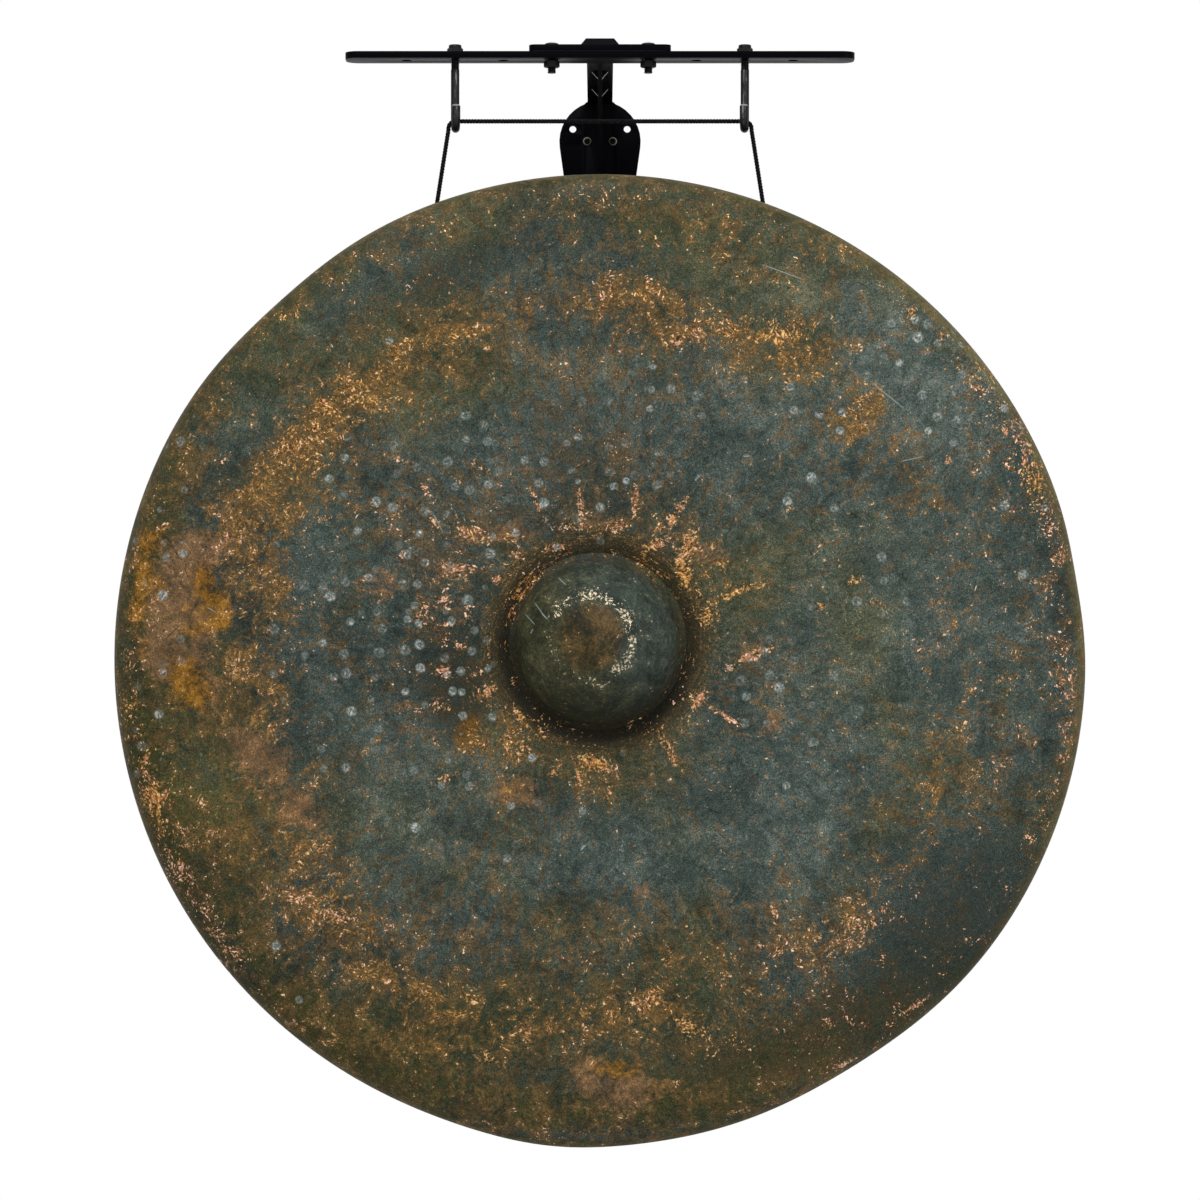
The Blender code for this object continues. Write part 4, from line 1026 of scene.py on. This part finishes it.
def beatGong(radius, angle, height):
    # moves the boss off centre, gives the outline its lobes and the face its hammer blows
    h, edge = hammering, gong["boss"] + gong["groove"]
    share = 1 - fade(radius, edge, gong["ridge"] - edge)
    growth = sum(rise * bell(awayFrom(angle, radians(direction)), 0, radians(width))
                 for direction, width, rise in h["lobes"])
    swell = 1 + growth * radius**3 / h["lobeRadius"]**4
    across = radius * np.cos(angle) * swell + share * gong["bossShift"][0]
    up = radius * np.sin(angle) * swell + share * gong["bossShift"][1]
    chance = np.random.default_rng(h["seed"])
    start, length = h["fadeIn"]
    end, last = h["fadeOut"]
    beaten = fade(radius, edge + start, length) * fade(-radius, -end, last)
    dent = np.zeros_like(across)
    for _ in range(h["blows"]):
        x, y = chance.uniform(-h["reach"], h["reach"], 2)
        size = chance.uniform(*h["size"])
        depth = chance.uniform(*h["force"]) * h["depth"]
        near = (np.abs(across - x) < h["cutOff"] * size) & (np.abs(up - y) < h["cutOff"] * size)
        far = ((across[near] - x) ** 2 + (up[near] - y) ** 2) / size**2
        dent[near] += depth * np.exp(-far * h["steepness"])
    return across, up, height - dent * beaten


def makeGongMesh():
    turns = gong["turns"]
    outer, along = evenRows(gongProfile(), gong["spacing"])
    within = [tuple(p) for p in insideOf(outer, gong["wall"])[::-1]]
    inner, _ = evenRows(within, gong["insideStep"] * gong["spacing"])
    inner[-1, 0] = 0
    lip = outer[-1] * 0.5 + inner[0] * 0.5 + (0, -gong["lipRound"])
    rows = np.vstack([outer[1:], [lip], inner[:-1]])

    def around(values, first, last):
        return np.concatenate([[first], np.repeat(values, turns), [last]])

    angle = np.concatenate([[0], np.tile(np.arange(turns) * 2 * pi / turns, len(rows)), [0]])
    radius = around(rows[:, 0], 0, 0)
    height = around(rows[:, 1], outer[0, 1], inner[-1, 1])
    front = around(np.concatenate([np.ones(len(outer) - 1), np.zeros(len(inner))]), 1, 0)
    along = around(np.concatenate([along[1:], np.full(len(inner), along[-1])]), 0, 0)
    across, up, deep = beatGong(radius, angle, height)
    mesh = bpy.data.meshes.new("gongShell")
    mesh.from_pydata(np.column_stack([across, up, deep]).tolist(), [], tubeFaces(len(rows), turns))
    paint = paintGong(across, up, deep, radius, angle, front)
    for name, values in paint.items():
        storeAttribute(mesh, name, values)
    storeAttribute(mesh, "spin", np.column_stack([np.cos(angle), np.sin(angle), along]))
    storeAttribute(mesh, "facePlace", np.column_stack([across, up, np.zeros_like(across)]))
    return mesh, list(paint)


def paintGong(across, up, deep, radius, angle, front):
    p = gongPaint
    onBoss, onFace = 1 - fade(radius, *p["bossFade"]), 1 - fade(-deep, *p["sideFade"])
    topward, rightward = (bell(awayFrom(angle, p[side][0]), 0, p[side][1]) for side in ("top", "right"))
    paint = {name: patchStrength(across, up, spots) * front for name, spots in patches.items()}
    for name in paint:
        if name not in ("pale", "calm"):
            paint[name] = paint[name] * (1 - onBoss)
    paint["dimpled"] = paint["dimpled"] * onFace
    for name, (distance, width) in p["rings"].items():
        paint[name] = front * bell(radius, gong["boss"] + distance, width)
    # the groove round the boss is painted dark as shade in the hollow, deepest below the boss as a painted
    # shadow
    even, swing, turn = p["grooveShadeSide"]
    paint["groove"] = paint["groove"] * (even + swing * np.sin(angle + turn))
    even, swing = p["arcShares"]
    arcs = sum(bell(angle, radians(direction), radians(width)) for direction, width in p["arcSides"])
    paint["arcs"] = paint["arcs"] * (even + swing * arcs)
    tipX, tipY = across - p["tip"][0], up - p["tip"][1]
    tipFar = np.hypot(tipX / p["tipSize"][0], tipY / p["tipSize"][1])
    even, swing, turn = p["haloSide"]
    sweep = even + swing * np.cos(np.arctan2(tipY, tipX) - turn)
    paint["tip"] = front * (1 - fade(tipFar, *p["tipFade"])) * onBoss
    paint["halo"] = front * bell(tipFar, *p["halo"]) * sweep * onBoss
    paint["boss"] = front * onBoss
    # the boss's lower part is painted darker, a painted shade under the light from above
    paint["bossUnderShade"] = front * onBoss * fade(-up, *p["underShadeFade"])
    edge = np.maximum(fade(radius, *p["edgeFade"]), fade(-deep, *p["edgeDepthFade"]))
    paint["edge"] = (1 - p["bareTop"] * topward * onFace) * edge
    # the rim's edge on the right is painted paler, a painted light from that side
    paint["pale"] = paint["pale"] + p["litRightEdge"] * paint["edge"] * front * rightward
    sides = (1, rightward, topward, bell(angle, *p["left"]))
    flecks = sum(share * side for share, side in zip(p["fleckShares"], sides))
    fromSide = p["sideFlecks"] + (1 - p["sideFlecks"]) * onFace
    paint["rimFlecks"] = front * bell(radius, *p["rimFlecks"]) * flecks * fromSide
    return paint


# the gong's patina: tints, each a colour or a ramp of (place, red, green, blue)

patina = {
    "teal": [(0.20, 27, 31, 20), (0.40, 49, 54, 38), (0.55, 67, 72, 54), (0.72, 91, 95, 75),
             (0.90, 134, 136, 114)],
    "blue": [(0.20, 24, 30, 27), (0.40, 44, 53, 49), (0.55, 61, 72, 68), (0.72, 84, 95, 88),
             (0.90, 126, 134, 126)],
    "olive": [(0.20, 26, 27, 10), (0.42, 48, 47, 21), (0.58, 66, 63, 31), (0.80, 98, 90, 52)],
    "smear": [(0.25, 48, 40, 24), (0.50, 76, 60, 36), (0.75, 116, 88, 52)],
    "smudge": [(0.25, 44, 38, 24), (0.50, 78, 62, 38), (0.75, 126, 98, 58)],
    "wash": [(0.25, 60, 50, 31), (0.50, 92, 73, 44), (0.75, 128, 98, 58)],
    "bronze": [(0.15, 44, 38, 22), (0.36, 76, 61, 36), (0.50, 106, 80, 44), (0.64, 142, 106, 58),
               (0.80, 182, 142, 84), (0.95, 222, 188, 130)],
    "pink": [(0.22, 68, 54, 38), (0.42, 98, 77, 54), (0.56, 117, 90, 62), (0.72, 150, 115, 80)],
    "ochre": [(0.22, 68, 46, 14), (0.42, 108, 76, 24), (0.56, 134, 94, 32), (0.72, 172, 122, 50)],
    # stainAndShade: darker patina and painted shade, laid by the dark patches
    "stainAndShade": (33, 37, 32),
    "crack": (34, 34, 26),
    "boss": [(0.20, 26, 31, 27), (0.45, 42, 49, 43), (0.60, 56, 65, 58), (0.80, 82, 90, 80)],
    # bossOliveLit is more olive and painted lighter, for the boss's left side as if lit from there;
    # bossUnderShade is painted shade
    "bossOliveLit": [(0.20, 30, 31, 20), (0.45, 50, 51, 35), (0.60, 68, 69, 49), (0.80, 98, 98, 74)],
    "bossUnderShade": (30, 33, 26),
    "bossTip": [(0.20, 24, 22, 12), (0.40, 44, 38, 22), (0.58, 66, 54, 32), (0.80, 100, 80, 50)],
    "ring": [(0.25, 32, 31, 22), (0.48, 54, 49, 33), (0.62, 82, 68, 42), (0.74, 158, 122, 72)],
    # groove: painted shade in the hollow round the boss
    "groove": (26, 26, 21),
    "pits": (30, 31, 22),
    "shadow": (40, 36, 26),
    "gold": [(0.22, 90, 62, 28), (0.42, 146, 98, 44), (0.58, 190, 134, 66), (0.75, 232, 192, 132)],
    "copper": [(0.22, 84, 56, 38), (0.42, 140, 92, 62), (0.58, 188, 132, 96), (0.75, 240, 212, 188)],
    "halo": [(0.30, 150, 122, 82), (0.60, 228, 212, 180)],
    "disc": [(0.25, 72, 80, 72), (0.5, 110, 118, 112), (0.75, 200, 206, 202)],
    # discRimGlint: the painted highlight along the hammer marks' rims
    "discRimGlint": (170, 176, 168),
}
patina["goldBed"] = patina["bronze"]

patinaNoises = {  # scale, detail, roughness, bend
    "cloud": (6.5, 4, 0.6, 0.8), "hue": (4.2, 4, 0.62, 0.4), "mottle": (30, 6, 0.68, 0.7),
    "blotch": (75, 4, 0.65, 1.4), "grain": (250, 4, 0.75, 1.9), "fine": (900, 2, 0.65, 0.8),
    "crackle": (15, 5, 0.62, 0.9),
}
blotchTurn = (0.4, 0.9, 0.2)

runNoises = {  # scale round the gong, scale outwards, detail, roughness, bend
    "smear": (20, 15, 5, 0.66, 0.6), "smudge": (30, 48, 5, 0.62, 1.1), "streaks": (11, 70, 5, 0.68, 1.2),
    "rings": (9, 520, 4, 0.66, 0.4),
}

strandNoises = {"brushed": (85, (170, 300, 480)), "flakes": (95, (230, 400, 540))}  # cells, stretch

mixes = {  # shares of the fields that swing each mixed field about a half
    "ground": dict(cloud=0.5, mottle=0.7, blotch=0.55, grain=0.35, brushed=0.12, fine=1.2, pale=0.10,
                   calm=0.02),
    "bluish": dict(hue=1.0, pale=0.06, calm=0.14),
    "mossy": dict(olive=1.0, cloud=0.8, mottle=0.9),
    "stain": dict(brushed=0.3, grain=0.5, fine=0.9, blotch=0.7, mottle=1.0),
    "strokes": dict(brushed=1.0, grain=0.7, fine=0.9, blotch=0.5),
    "rubbed": dict(worn=0.92, mottle=1.6, cloud=0.6, blotch=1.5, streaks=1.6, calm=-0.5),
    "washTone": dict(grain=0.8, fine=0.8, mottle=0.8),
    "bossTone": dict(cloud=0.5, mottle=0.9, rings=0.4, fine=0.6, grain=0.3, brushed=0.4, blotch=0.6),
    "tipTone": dict(stain=0.8, mottle=1.2, grain=0.4),
    "ringTone": dict(rings=1.0, grain=0.8, fine=0.8),
    "metalTone": dict(flakes=0.9, brushed=0.7, fine=0.6, grain=0.4),
    "discTone": dict(grain=1.2, flakes=1.2),
    "flecks": dict(flakes=1.3, flecked=0.16, worn=0.12, mottle=0.9, blotch=0.9, rimFlecks=0.22, boss=-0.4,
                   calm=-0.10),
    "strips": dict(gold=0.72, flakes=1.2, brushed=1.0, blotch=1.0, grain=0.7),
    "arcLines": dict(arcs=0.60, rings=1.6, mottle=1.0, flakes=0.8),
    # leftward: where the boss is painted lighter on its left
    "leftward": dict(sideX=-0.7, sideY=-0.3, mottle=2.0),
    "coppery": dict(hue=1.0, blotch=0.9, gold=0.08),
}

# where each tint comes in: the lowest and highest mixed value, the most that it covers, the field that picks
# its colour from the ramp, and the shares that are mixed
covers = {
    "smear": (0.79, 1.05, 0.55, "tone", dict(smear=1.6, mottle=0.8, blotch=0.5, calm=-0.5)),
    "smudge": (0.57, 0.73, 0.60, "stain", dict(smudge=1.8, blotch=0.8, mottle=0.6, grain=0.4, calm=-0.35)),
    "wash": (0.60, 1.38, 0.82, "washTone", dict(rubbed=1.0)),
    "bronze": (0.88, 1.56, 0.85, "strokes", dict(rubbed=1.0, brushed=1.1, grain=0.9, blotch=0.5)),
    "pink": (0.22, 0.80, 0.92, "stain", dict(pink=1.0, mottle=1.1, blotch=0.9, grain=0.5)),
    "ochre": (0.30, 0.92, 0.92, "stain", dict(ochre=1.0, mottle=1.1, blotch=1.0, grain=0.5)),
    "stainAndShade": (0.35, 0.95, 0.68, None, dict(dark=1.0, mottle=1.2, blotch=0.6)),
    "bossTip": (0.22, 1.2, 0.95, "tipTone", dict(tip=1.0, mottle=1.2, blotch=1.0, brushed=0.6)),
    "ring": (0.22, 0.95, 0.88, "ringTone", dict(ring=1.0, rings=1.4, mottle=1.2, blotch=0.8)),
    # groove: painted shade in the hollow, with a painted shadow below the boss
    "groove": (0.2, 0.95, 0.9, None, dict(groove=1.0, rings=1.0, mottle=0.8, blotch=0.5, grain=0.4)),
    "pits": (0.66, 0.84, 0.7, None, dict(flakes=-1.3, flecked=0.12, blotch=0.9, mottle=0.5, brushed=-0.4)),
    "goldBed": (0.36, 0.70, 0.5, "strokes", dict(strips=1.0)),
    "halo": (0.72, 0.88, 0.9, "metalTone", dict(halo=0.50, flakes=1.5, fine=0.7, blotch=0.9, mottle=1.0)),
}

bareSpans = {"flecks": (0.87, 0.92, 1.0), "strips": (0.56, 0.78, 0.95), "arcLines": (0.78, 0.92, 1.0)}

spans = {  # lowest and highest value, and the most that comes of it
    "bluish": (0.30, 0.50), "mossy": (0.5, 1.0, 0.92), "leftward": (0.6, 1.6), "coppery": (0.43, 0.57),
    "cracked": (0.46, 0.56, 0.6), "fleckBed": (0.81, 0.88, 0.55), "crackBed": (0.3, 0.6, 0.2),
}

dimple = {"cells": 46.0, "least": 0.17, "range": 0.07, "discSpan": (1.22, 0.62), "rimGlintLine": (0.30, 0.72),
          "lift": (0.17, 0.8), "rimGlintLift": 0.15, "edge": {"away": 1.0, "grain": 0.12, "blotch": 0.14}}

finish = {
    "specular": 0.07, "toneLift": 0.088, "edgeOlive": 0.88, "bossUnderShade": 0.6, "crackLine": (0.007, 0.5),
    "metal": {"bronzeCover": 0.3, "bare": 0.7, "haloCover": 0.5}, "mostMetal": 0.8,
    "rough": {"fine": 0.14, "mottle": 0.2, "bronzeCover": -0.06}, "leastRough": 0.36,
    "relief": {"grain": 0.0003, "brushed": 0.0003, "mottle": 0.0008, "blotch": 0.0004, "fine": 0.0001,
               "disc": -0.0004, "bare": -0.0001, "cracks": -0.0002},
}

scratchLooks = {"light": (0.55, (158, 168, 166)), "dark": (0.7, (34, 38, 32))}  # cover, colour
scratches = {  # across, up, half length in centimetres, and turn in degrees
    "light": [(26.7, 25, 2.3, -38.5), (17, 36.4, 2.5, -20), (-15.1, 13.2, 1.2, -62), (29, 19.1, 1.3, 12),
              (-5.5, 5.1, 1.1, -52), (-6.5, 4.3, .8, -45), (-5.1, 4.6, .5, -40), (-6.3, 3.2, .3, 60),
              (-3.5, 7.8, .6, -40), (-36.2, 5.1, .5, -30)],
    "dark": [(18, 31.8, 1.5, -37), (12.5, 36.3, 1.2, -34), (-39.7, 3.1, 1, 44), (-34.5, 9.1, .7, -35),
             (-38.5, 8.5, .6, -70), (10.5, -20, 1.2, 50)],
}


def makeScratchGroup():
    # a mask along one straight scratch, tapering at its ends
    tree, add, given = newGroup("ShaderNodeTree", "scratch", [
        ("Place", "Vector"), ("Middle", "Vector"), ("Turn", "Vector"), ("Half Length", "Float", 0.02),
        ("Half Width", "Float", 0.0007)], [("Mask", "Float")])
    local = add("ShaderNodeMapping", {"Vector": given["Place"], "Location": given["Middle"],
                                      "Rotation": given["Turn"]}, vector_type="TEXTURE")
    parts = add("ShaderNodeSeparateXYZ", {"Vector": local}).node.outputs
    along = maths(add, "DIVIDE", maths(add, "ABSOLUTE", parts["X"]), given["Half Length"])
    across = maths(add, "DIVIDE", maths(add, "ABSOLUTE", parts["Y"]), given["Half Width"])
    mask = maths(add, "MULTIPLY", between(add, along, 1.0, 0.5), between(add, across, 1.0, 0.3))
    add("NodeGroupOutput", {"Mask": mask})
    return tree


def makeFibreGroup():
    # strands that lie one way within each small cell, as a wire brush leaves them
    tree, add, given = newGroup("ShaderNodeTree", "fibre", [
        ("Place", "Vector"), ("Cells", "Float", 40.0), ("Stretch", "Vector", (100, 200, 400)),
        ("Wobble", "Vector")], [("Strand", "Float")])
    bent = vectors(add, "ADD", given["Place"], given["Wobble"])
    cells = add("ShaderNodeTexVoronoi", {"Vector": bent, "Scale": given["Cells"]}, "Position").node.outputs
    local = vectors(add, "SUBTRACT", given["Place"], cells["Position"])
    pick = add("ShaderNodeSeparateColor", {"Color": cells["Color"]}, "Red")
    turn = {"Vector": local, "Angle": maths(add, "MULTIPLY", pick, pi)}
    turned = add("ShaderNodeVectorRotate", turn, rotation_type="Y_AXIS")
    stretch = vectors(add, "MULTIPLY", turned, given["Stretch"])
    spot = vectors(add, "ADD", stretch, scaled(add, cells["Color"], 40.0))
    add("NodeGroupOutput", {"Strand": noise(add, spot, 1.0, 2.0, 0.55, 0.5)})
    return tree


def patinaFields(add, marks):
    # the painted marks, the noises and their mixes, by name
    spot, spin = add("ShaderNodeTexCoord", {}, "Object"), attribute(add, "spin", "Vector")
    sides = add("ShaderNodeSeparateXYZ", {"Vector": spin}).node.outputs
    field = {name: attribute(add, name) for name in marks}
    field.update({"face": attribute(add, "facePlace", "Vector"), "sideX": sides["X"], "sideY": sides["Y"]})
    for name, look in patinaNoises.items():
        place = stretched(add, spot, (1, 1, 1), blotchTurn) if name == "blotch" else spot
        field[name] = noise(add, place, *look)
    for name, (across, out, *look) in runNoises.items():
        field[name] = noise(add, stretched(add, spin, (across, across, out)), 1.0, *look)
    wobble = scaled(add, noise(add, spot, 60.0, 2.0, 0.6).node.outputs["Color"], 0.02)
    fibre = makeFibreGroup()
    for name, (cells, stretch) in strandNoises.items():
        values = {"Place": spot, "Wobble": wobble, "Cells": cells, "Stretch": stretch}
        field[name] = add("ShaderNodeGroup", values, "Strand", node_tree=fibre)
    for name, shares in mixes.items():
        field[name] = mixed(add, field, shares)
    field["tone"] = maths(add, "ADD", field["ground"], finish["toneLift"])
    return field


def tinted(add, field, name, tone=None):
    return ramp(add, field[tone], patina[name]) if tone else srgb(*patina[name])


def laid(add, field, base, *names):
    # these tints laid over the rest in turn; each one's cover becomes a field too
    for name in names:
        low, high, most, tone, shares = covers[name]
        cover = between(add, mixed(add, field, shares), low, high, most)
        base = blendTint(add, cover, base, tinted(add, field, name, tone))
        field[f"{name}Cover"] = cover
    return base


def groundTint(add, field):
    # dark green and blue grey, darker and more olive towards the rim
    teal, blue, olive = (tinted(add, field, name, "tone") for name in ("teal", "blue", "olive"))
    base = blendTint(add, between(add, field["bluish"], *spans["bluish"]), teal, blue)
    edge = maths(add, "MULTIPLY", field["edge"], finish["edgeOlive"])
    mossy = maths(add, "MAXIMUM", between(add, field["mossy"], *spans["mossy"]), edge)
    return blendTint(add, mossy, base, olive)


def crackTint(add, field, base):
    lines = contour(add, field["crackle"], *finish["crackLine"])
    field["cracks"] = maths(add, "MULTIPLY", lines, between(add, field["hue"], *spans["cracked"]))
    return blendTint(add, field["cracks"], base, tinted(add, field, "crack"))


def bossTint(add, field, base):
    # more olive and painted lighter on the left, as if lit from there, and painted shade on its lower part
    plain, left = (tinted(add, field, name, "bossTone") for name in ("boss", "bossOliveLit"))
    tint = blendTint(add, between(add, field["leftward"], *spans["leftward"]), plain, left)
    low = maths(add, "MULTIPLY", field["bossUnderShade"], finish["bossUnderShade"])
    tint = blendTint(add, low, tint, tinted(add, field, "bossUnderShade"))
    return blendTint(add, field["boss"], base, tint)


def bareMetal(add, field, base):
    # small flecks, placed strokes, arcs in the groove and specks round the tip, each in a dark bed
    bare = 0.0
    for name, span in bareSpans.items():
        bare = maths(add, "MAXIMUM", bare, between(add, field[name], *span))
    field["bare"] = bare
    shadow = maths(add, "MAXIMUM", between(add, field["flecks"], *spans["fleckBed"]),
                   between(add, field["cracks"], *spans["crackBed"]))
    base = laid(add, field, blendTint(add, shadow, base, tinted(add, field, "shadow")), "goldBed")
    gold, copper = (tinted(add, field, name, "metalTone") for name in ("gold", "copper"))
    metal = blendTint(add, between(add, field["coppery"], *spans["coppery"]), gold, copper)
    return laid(add, field, blendTint(add, bare, base, metal), "halo")


def hammerMarks(add, field, base):
    # round marks of the ball hammer, some of them hardly there, each with a painted highlight along its rim
    marks = {"Vector": field["face"], "Scale": dimple["cells"], "Randomness": 1.0}
    field["away"] = add("ShaderNodeTexVoronoi", marks, "Distance", voronoi_dimensions="2D")
    room = add("ShaderNodeTexVoronoi", marks, "Radius", voronoi_dimensions="2D", feature="N_SPHERE_RADIUS")
    pick = add("ShaderNodeSeparateColor", {"Color": field["away"].node.outputs["Color"]}).node.outputs
    chosen = maths(add, "LESS_THAN", pick["Red"], field["dimpled"])
    size = maths(add, "ADD", maths(add, "MULTIPLY", pick["Blue"], dimple["range"]), dimple["least"])
    reach = maths(add, "DIVIDE", mixed(add, field, dimple["edge"]), maths(add, "MINIMUM", room, size))
    field["disc"] = maths(add, "MULTIPLY", between(add, reach, *dimple["discSpan"]), chosen)
    rim = maths(add, "MULTIPLY", contour(add, reach, *dimple["rimGlintLine"]), chosen)
    least, swing = dimple["lift"]
    strength = maths(add, "MULTIPLY", pick["Green"], pick["Green"])
    lift = maths(add, "ADD", maths(add, "MULTIPLY", strength, swing), least)
    rimGlintLift = maths(add, "MULTIPLY", lift, dimple["rimGlintLift"])
    disc = tinted(add, field, "disc", "discTone")
    base = blendTint(add, maths(add, "MULTIPLY", field["disc"], lift), base, disc)
    return blendTint(add, maths(add, "MULTIPLY", rim, rimGlintLift), base, tinted(add, field, "discRimGlint"))


def scratchMarks(add, field, base):
    group = makeScratchGroup()
    for look, (cover, tint) in scratchLooks.items():
        for x, y, length, turn in scratches[look]:
            mask = add("ShaderNodeGroup", {
                "Place": field["face"], "Middle": (x / 100, y / 100, 0), "Turn": (0, 0, radians(turn)),
                "Half Length": length / 100}, "Mask", node_tree=group)
            base = blendTint(add, maths(add, "MULTIPLY", mask, cover), base, srgb(*tint))
    return base


def makePatina(marks):
    material, add, shader = newMaterial("hammeredPatina", Specular_IOR_Level=finish["specular"])
    field = patinaFields(add, marks)
    base = groundTint(add, field)
    base = laid(add, field, base, "smear", "smudge", "wash", "bronze", "pink", "ochre", "stainAndShade")
    base = bossTint(add, field, crackTint(add, field, base))
    base = laid(add, field, base, "bossTip", "ring", "groove", "pits")
    base = hammerMarks(add, field, bareMetal(add, field, base))
    base = scratchMarks(add, field, base)
    relief = {"Height": total(add, field, finish["relief"]), "Distance": 1.0, "Strength": 0.8}
    metal = maths(add, "MULTIPLY", total(add, field, finish["metal"]), finish["mostMetal"], clamp=True)
    rough = maths(add, "ADD", total(add, field, finish["rough"]), finish["leastRough"])
    feed(shader, {"Base Color": base, "Metallic": metal, "Roughness": rough,
                  "Normal": add("ShaderNodeBump", relief)})
    return material


def gongPlace():
    return Matrix.Translation(gong["centre"]) @ Matrix.Rotation(pi / 2 + gong["tilt"], 4, "X")


def rimPlace(side, fromAxis):
    # at one of the rope holes, in the gong's own frame
    turn = Matrix.Rotation(-side * gong["holeAngle"], 4, "Z")
    return turn @ Matrix.Translation((0, fromAxis, -gong["holeDepth"]))


def makeGong():
    mesh, marks = makeGongMesh()
    mesh.materials.append(makePatina(marks))
    shell = linkedObject("gongShell", mesh)
    for side in (-1, 1):
        bpy.ops.mesh.primitive_cylinder_add(vertices=32, radius=gong["holeRadius"], depth=gong["drill"])
        drill = bpy.context.object
        drill.data.transform(rimPlace(side, gong["holeFromAxis"]) @ Matrix.Rotation(pi / 2, 4, "X"))
        cut = shell.modifiers.new("rimHole", "BOOLEAN")
        cut.operation = "DIFFERENCE"
        cut.object = drill
        cut.solver = "EXACT"
        drilled = finalMesh(shell)
        shell.modifiers.clear()
        shell.data = drilled
        bpy.data.objects.remove(drill)
    smoothUpTo(shell.data, radians(50))
    putAt(shell, gongPlace())
    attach(shell, "gong")
    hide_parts("gong")
    print("gong shell:", len(shell.data.polygons), "faces")


makeGong()


# knots behind the rim holes: a coil and the end that hangs out of it

knot = {
    "radius": 0.0066, "squeeze": 0.0002, "wraps": 3, "steps": 28, "tail": 0.0088, "tailStart": -0.001,
    "tailSway": 0.0006, "strandTrim": 0.00005, "layTrim": 0.0001, "gap": 0.0005, "underRim": 0.45246,
}


def makeKnot(side, name):
    wraps, count, width = knot["wraps"], knot["wraps"] * knot["steps"], 2 * rope["radius"]
    core = knot["radius"] - rope["radius"] - knot["squeeze"]
    coil = []
    for share in (n / count for n in range(count + 1)):
        angle = 2 * pi * wraps * share
        coil.append((core * cos(angle), core * sin(angle), -rope["radius"] - (wraps - 1) * width * share))
    fall = wraps * width + knot["tail"]
    tail = [(knot["tailSway"] * sin(n), 0, knot["tailStart"] - fall * n / 8) for n in range(9)]
    piece = layRope(name, [coil, tail], knot["strandTrim"], knot["layTrim"])
    lean = Matrix.Rotation(-pi / 2 - gong["rimTaper"], 4, "X") @ Matrix.Translation((0, 0, -knot["gap"]))
    putAt(piece, gongPlace() @ rimPlace(side, knot["underRim"]) @ lean)
    piece.data.shade_smooth()
    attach(piece, "gong")
    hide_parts("rope_knot_left" if side < 0 else "rope_knot_right")


makeKnot(-1, "knotLeft")
makeKnot(1, "knotRight")
print("knots tied")
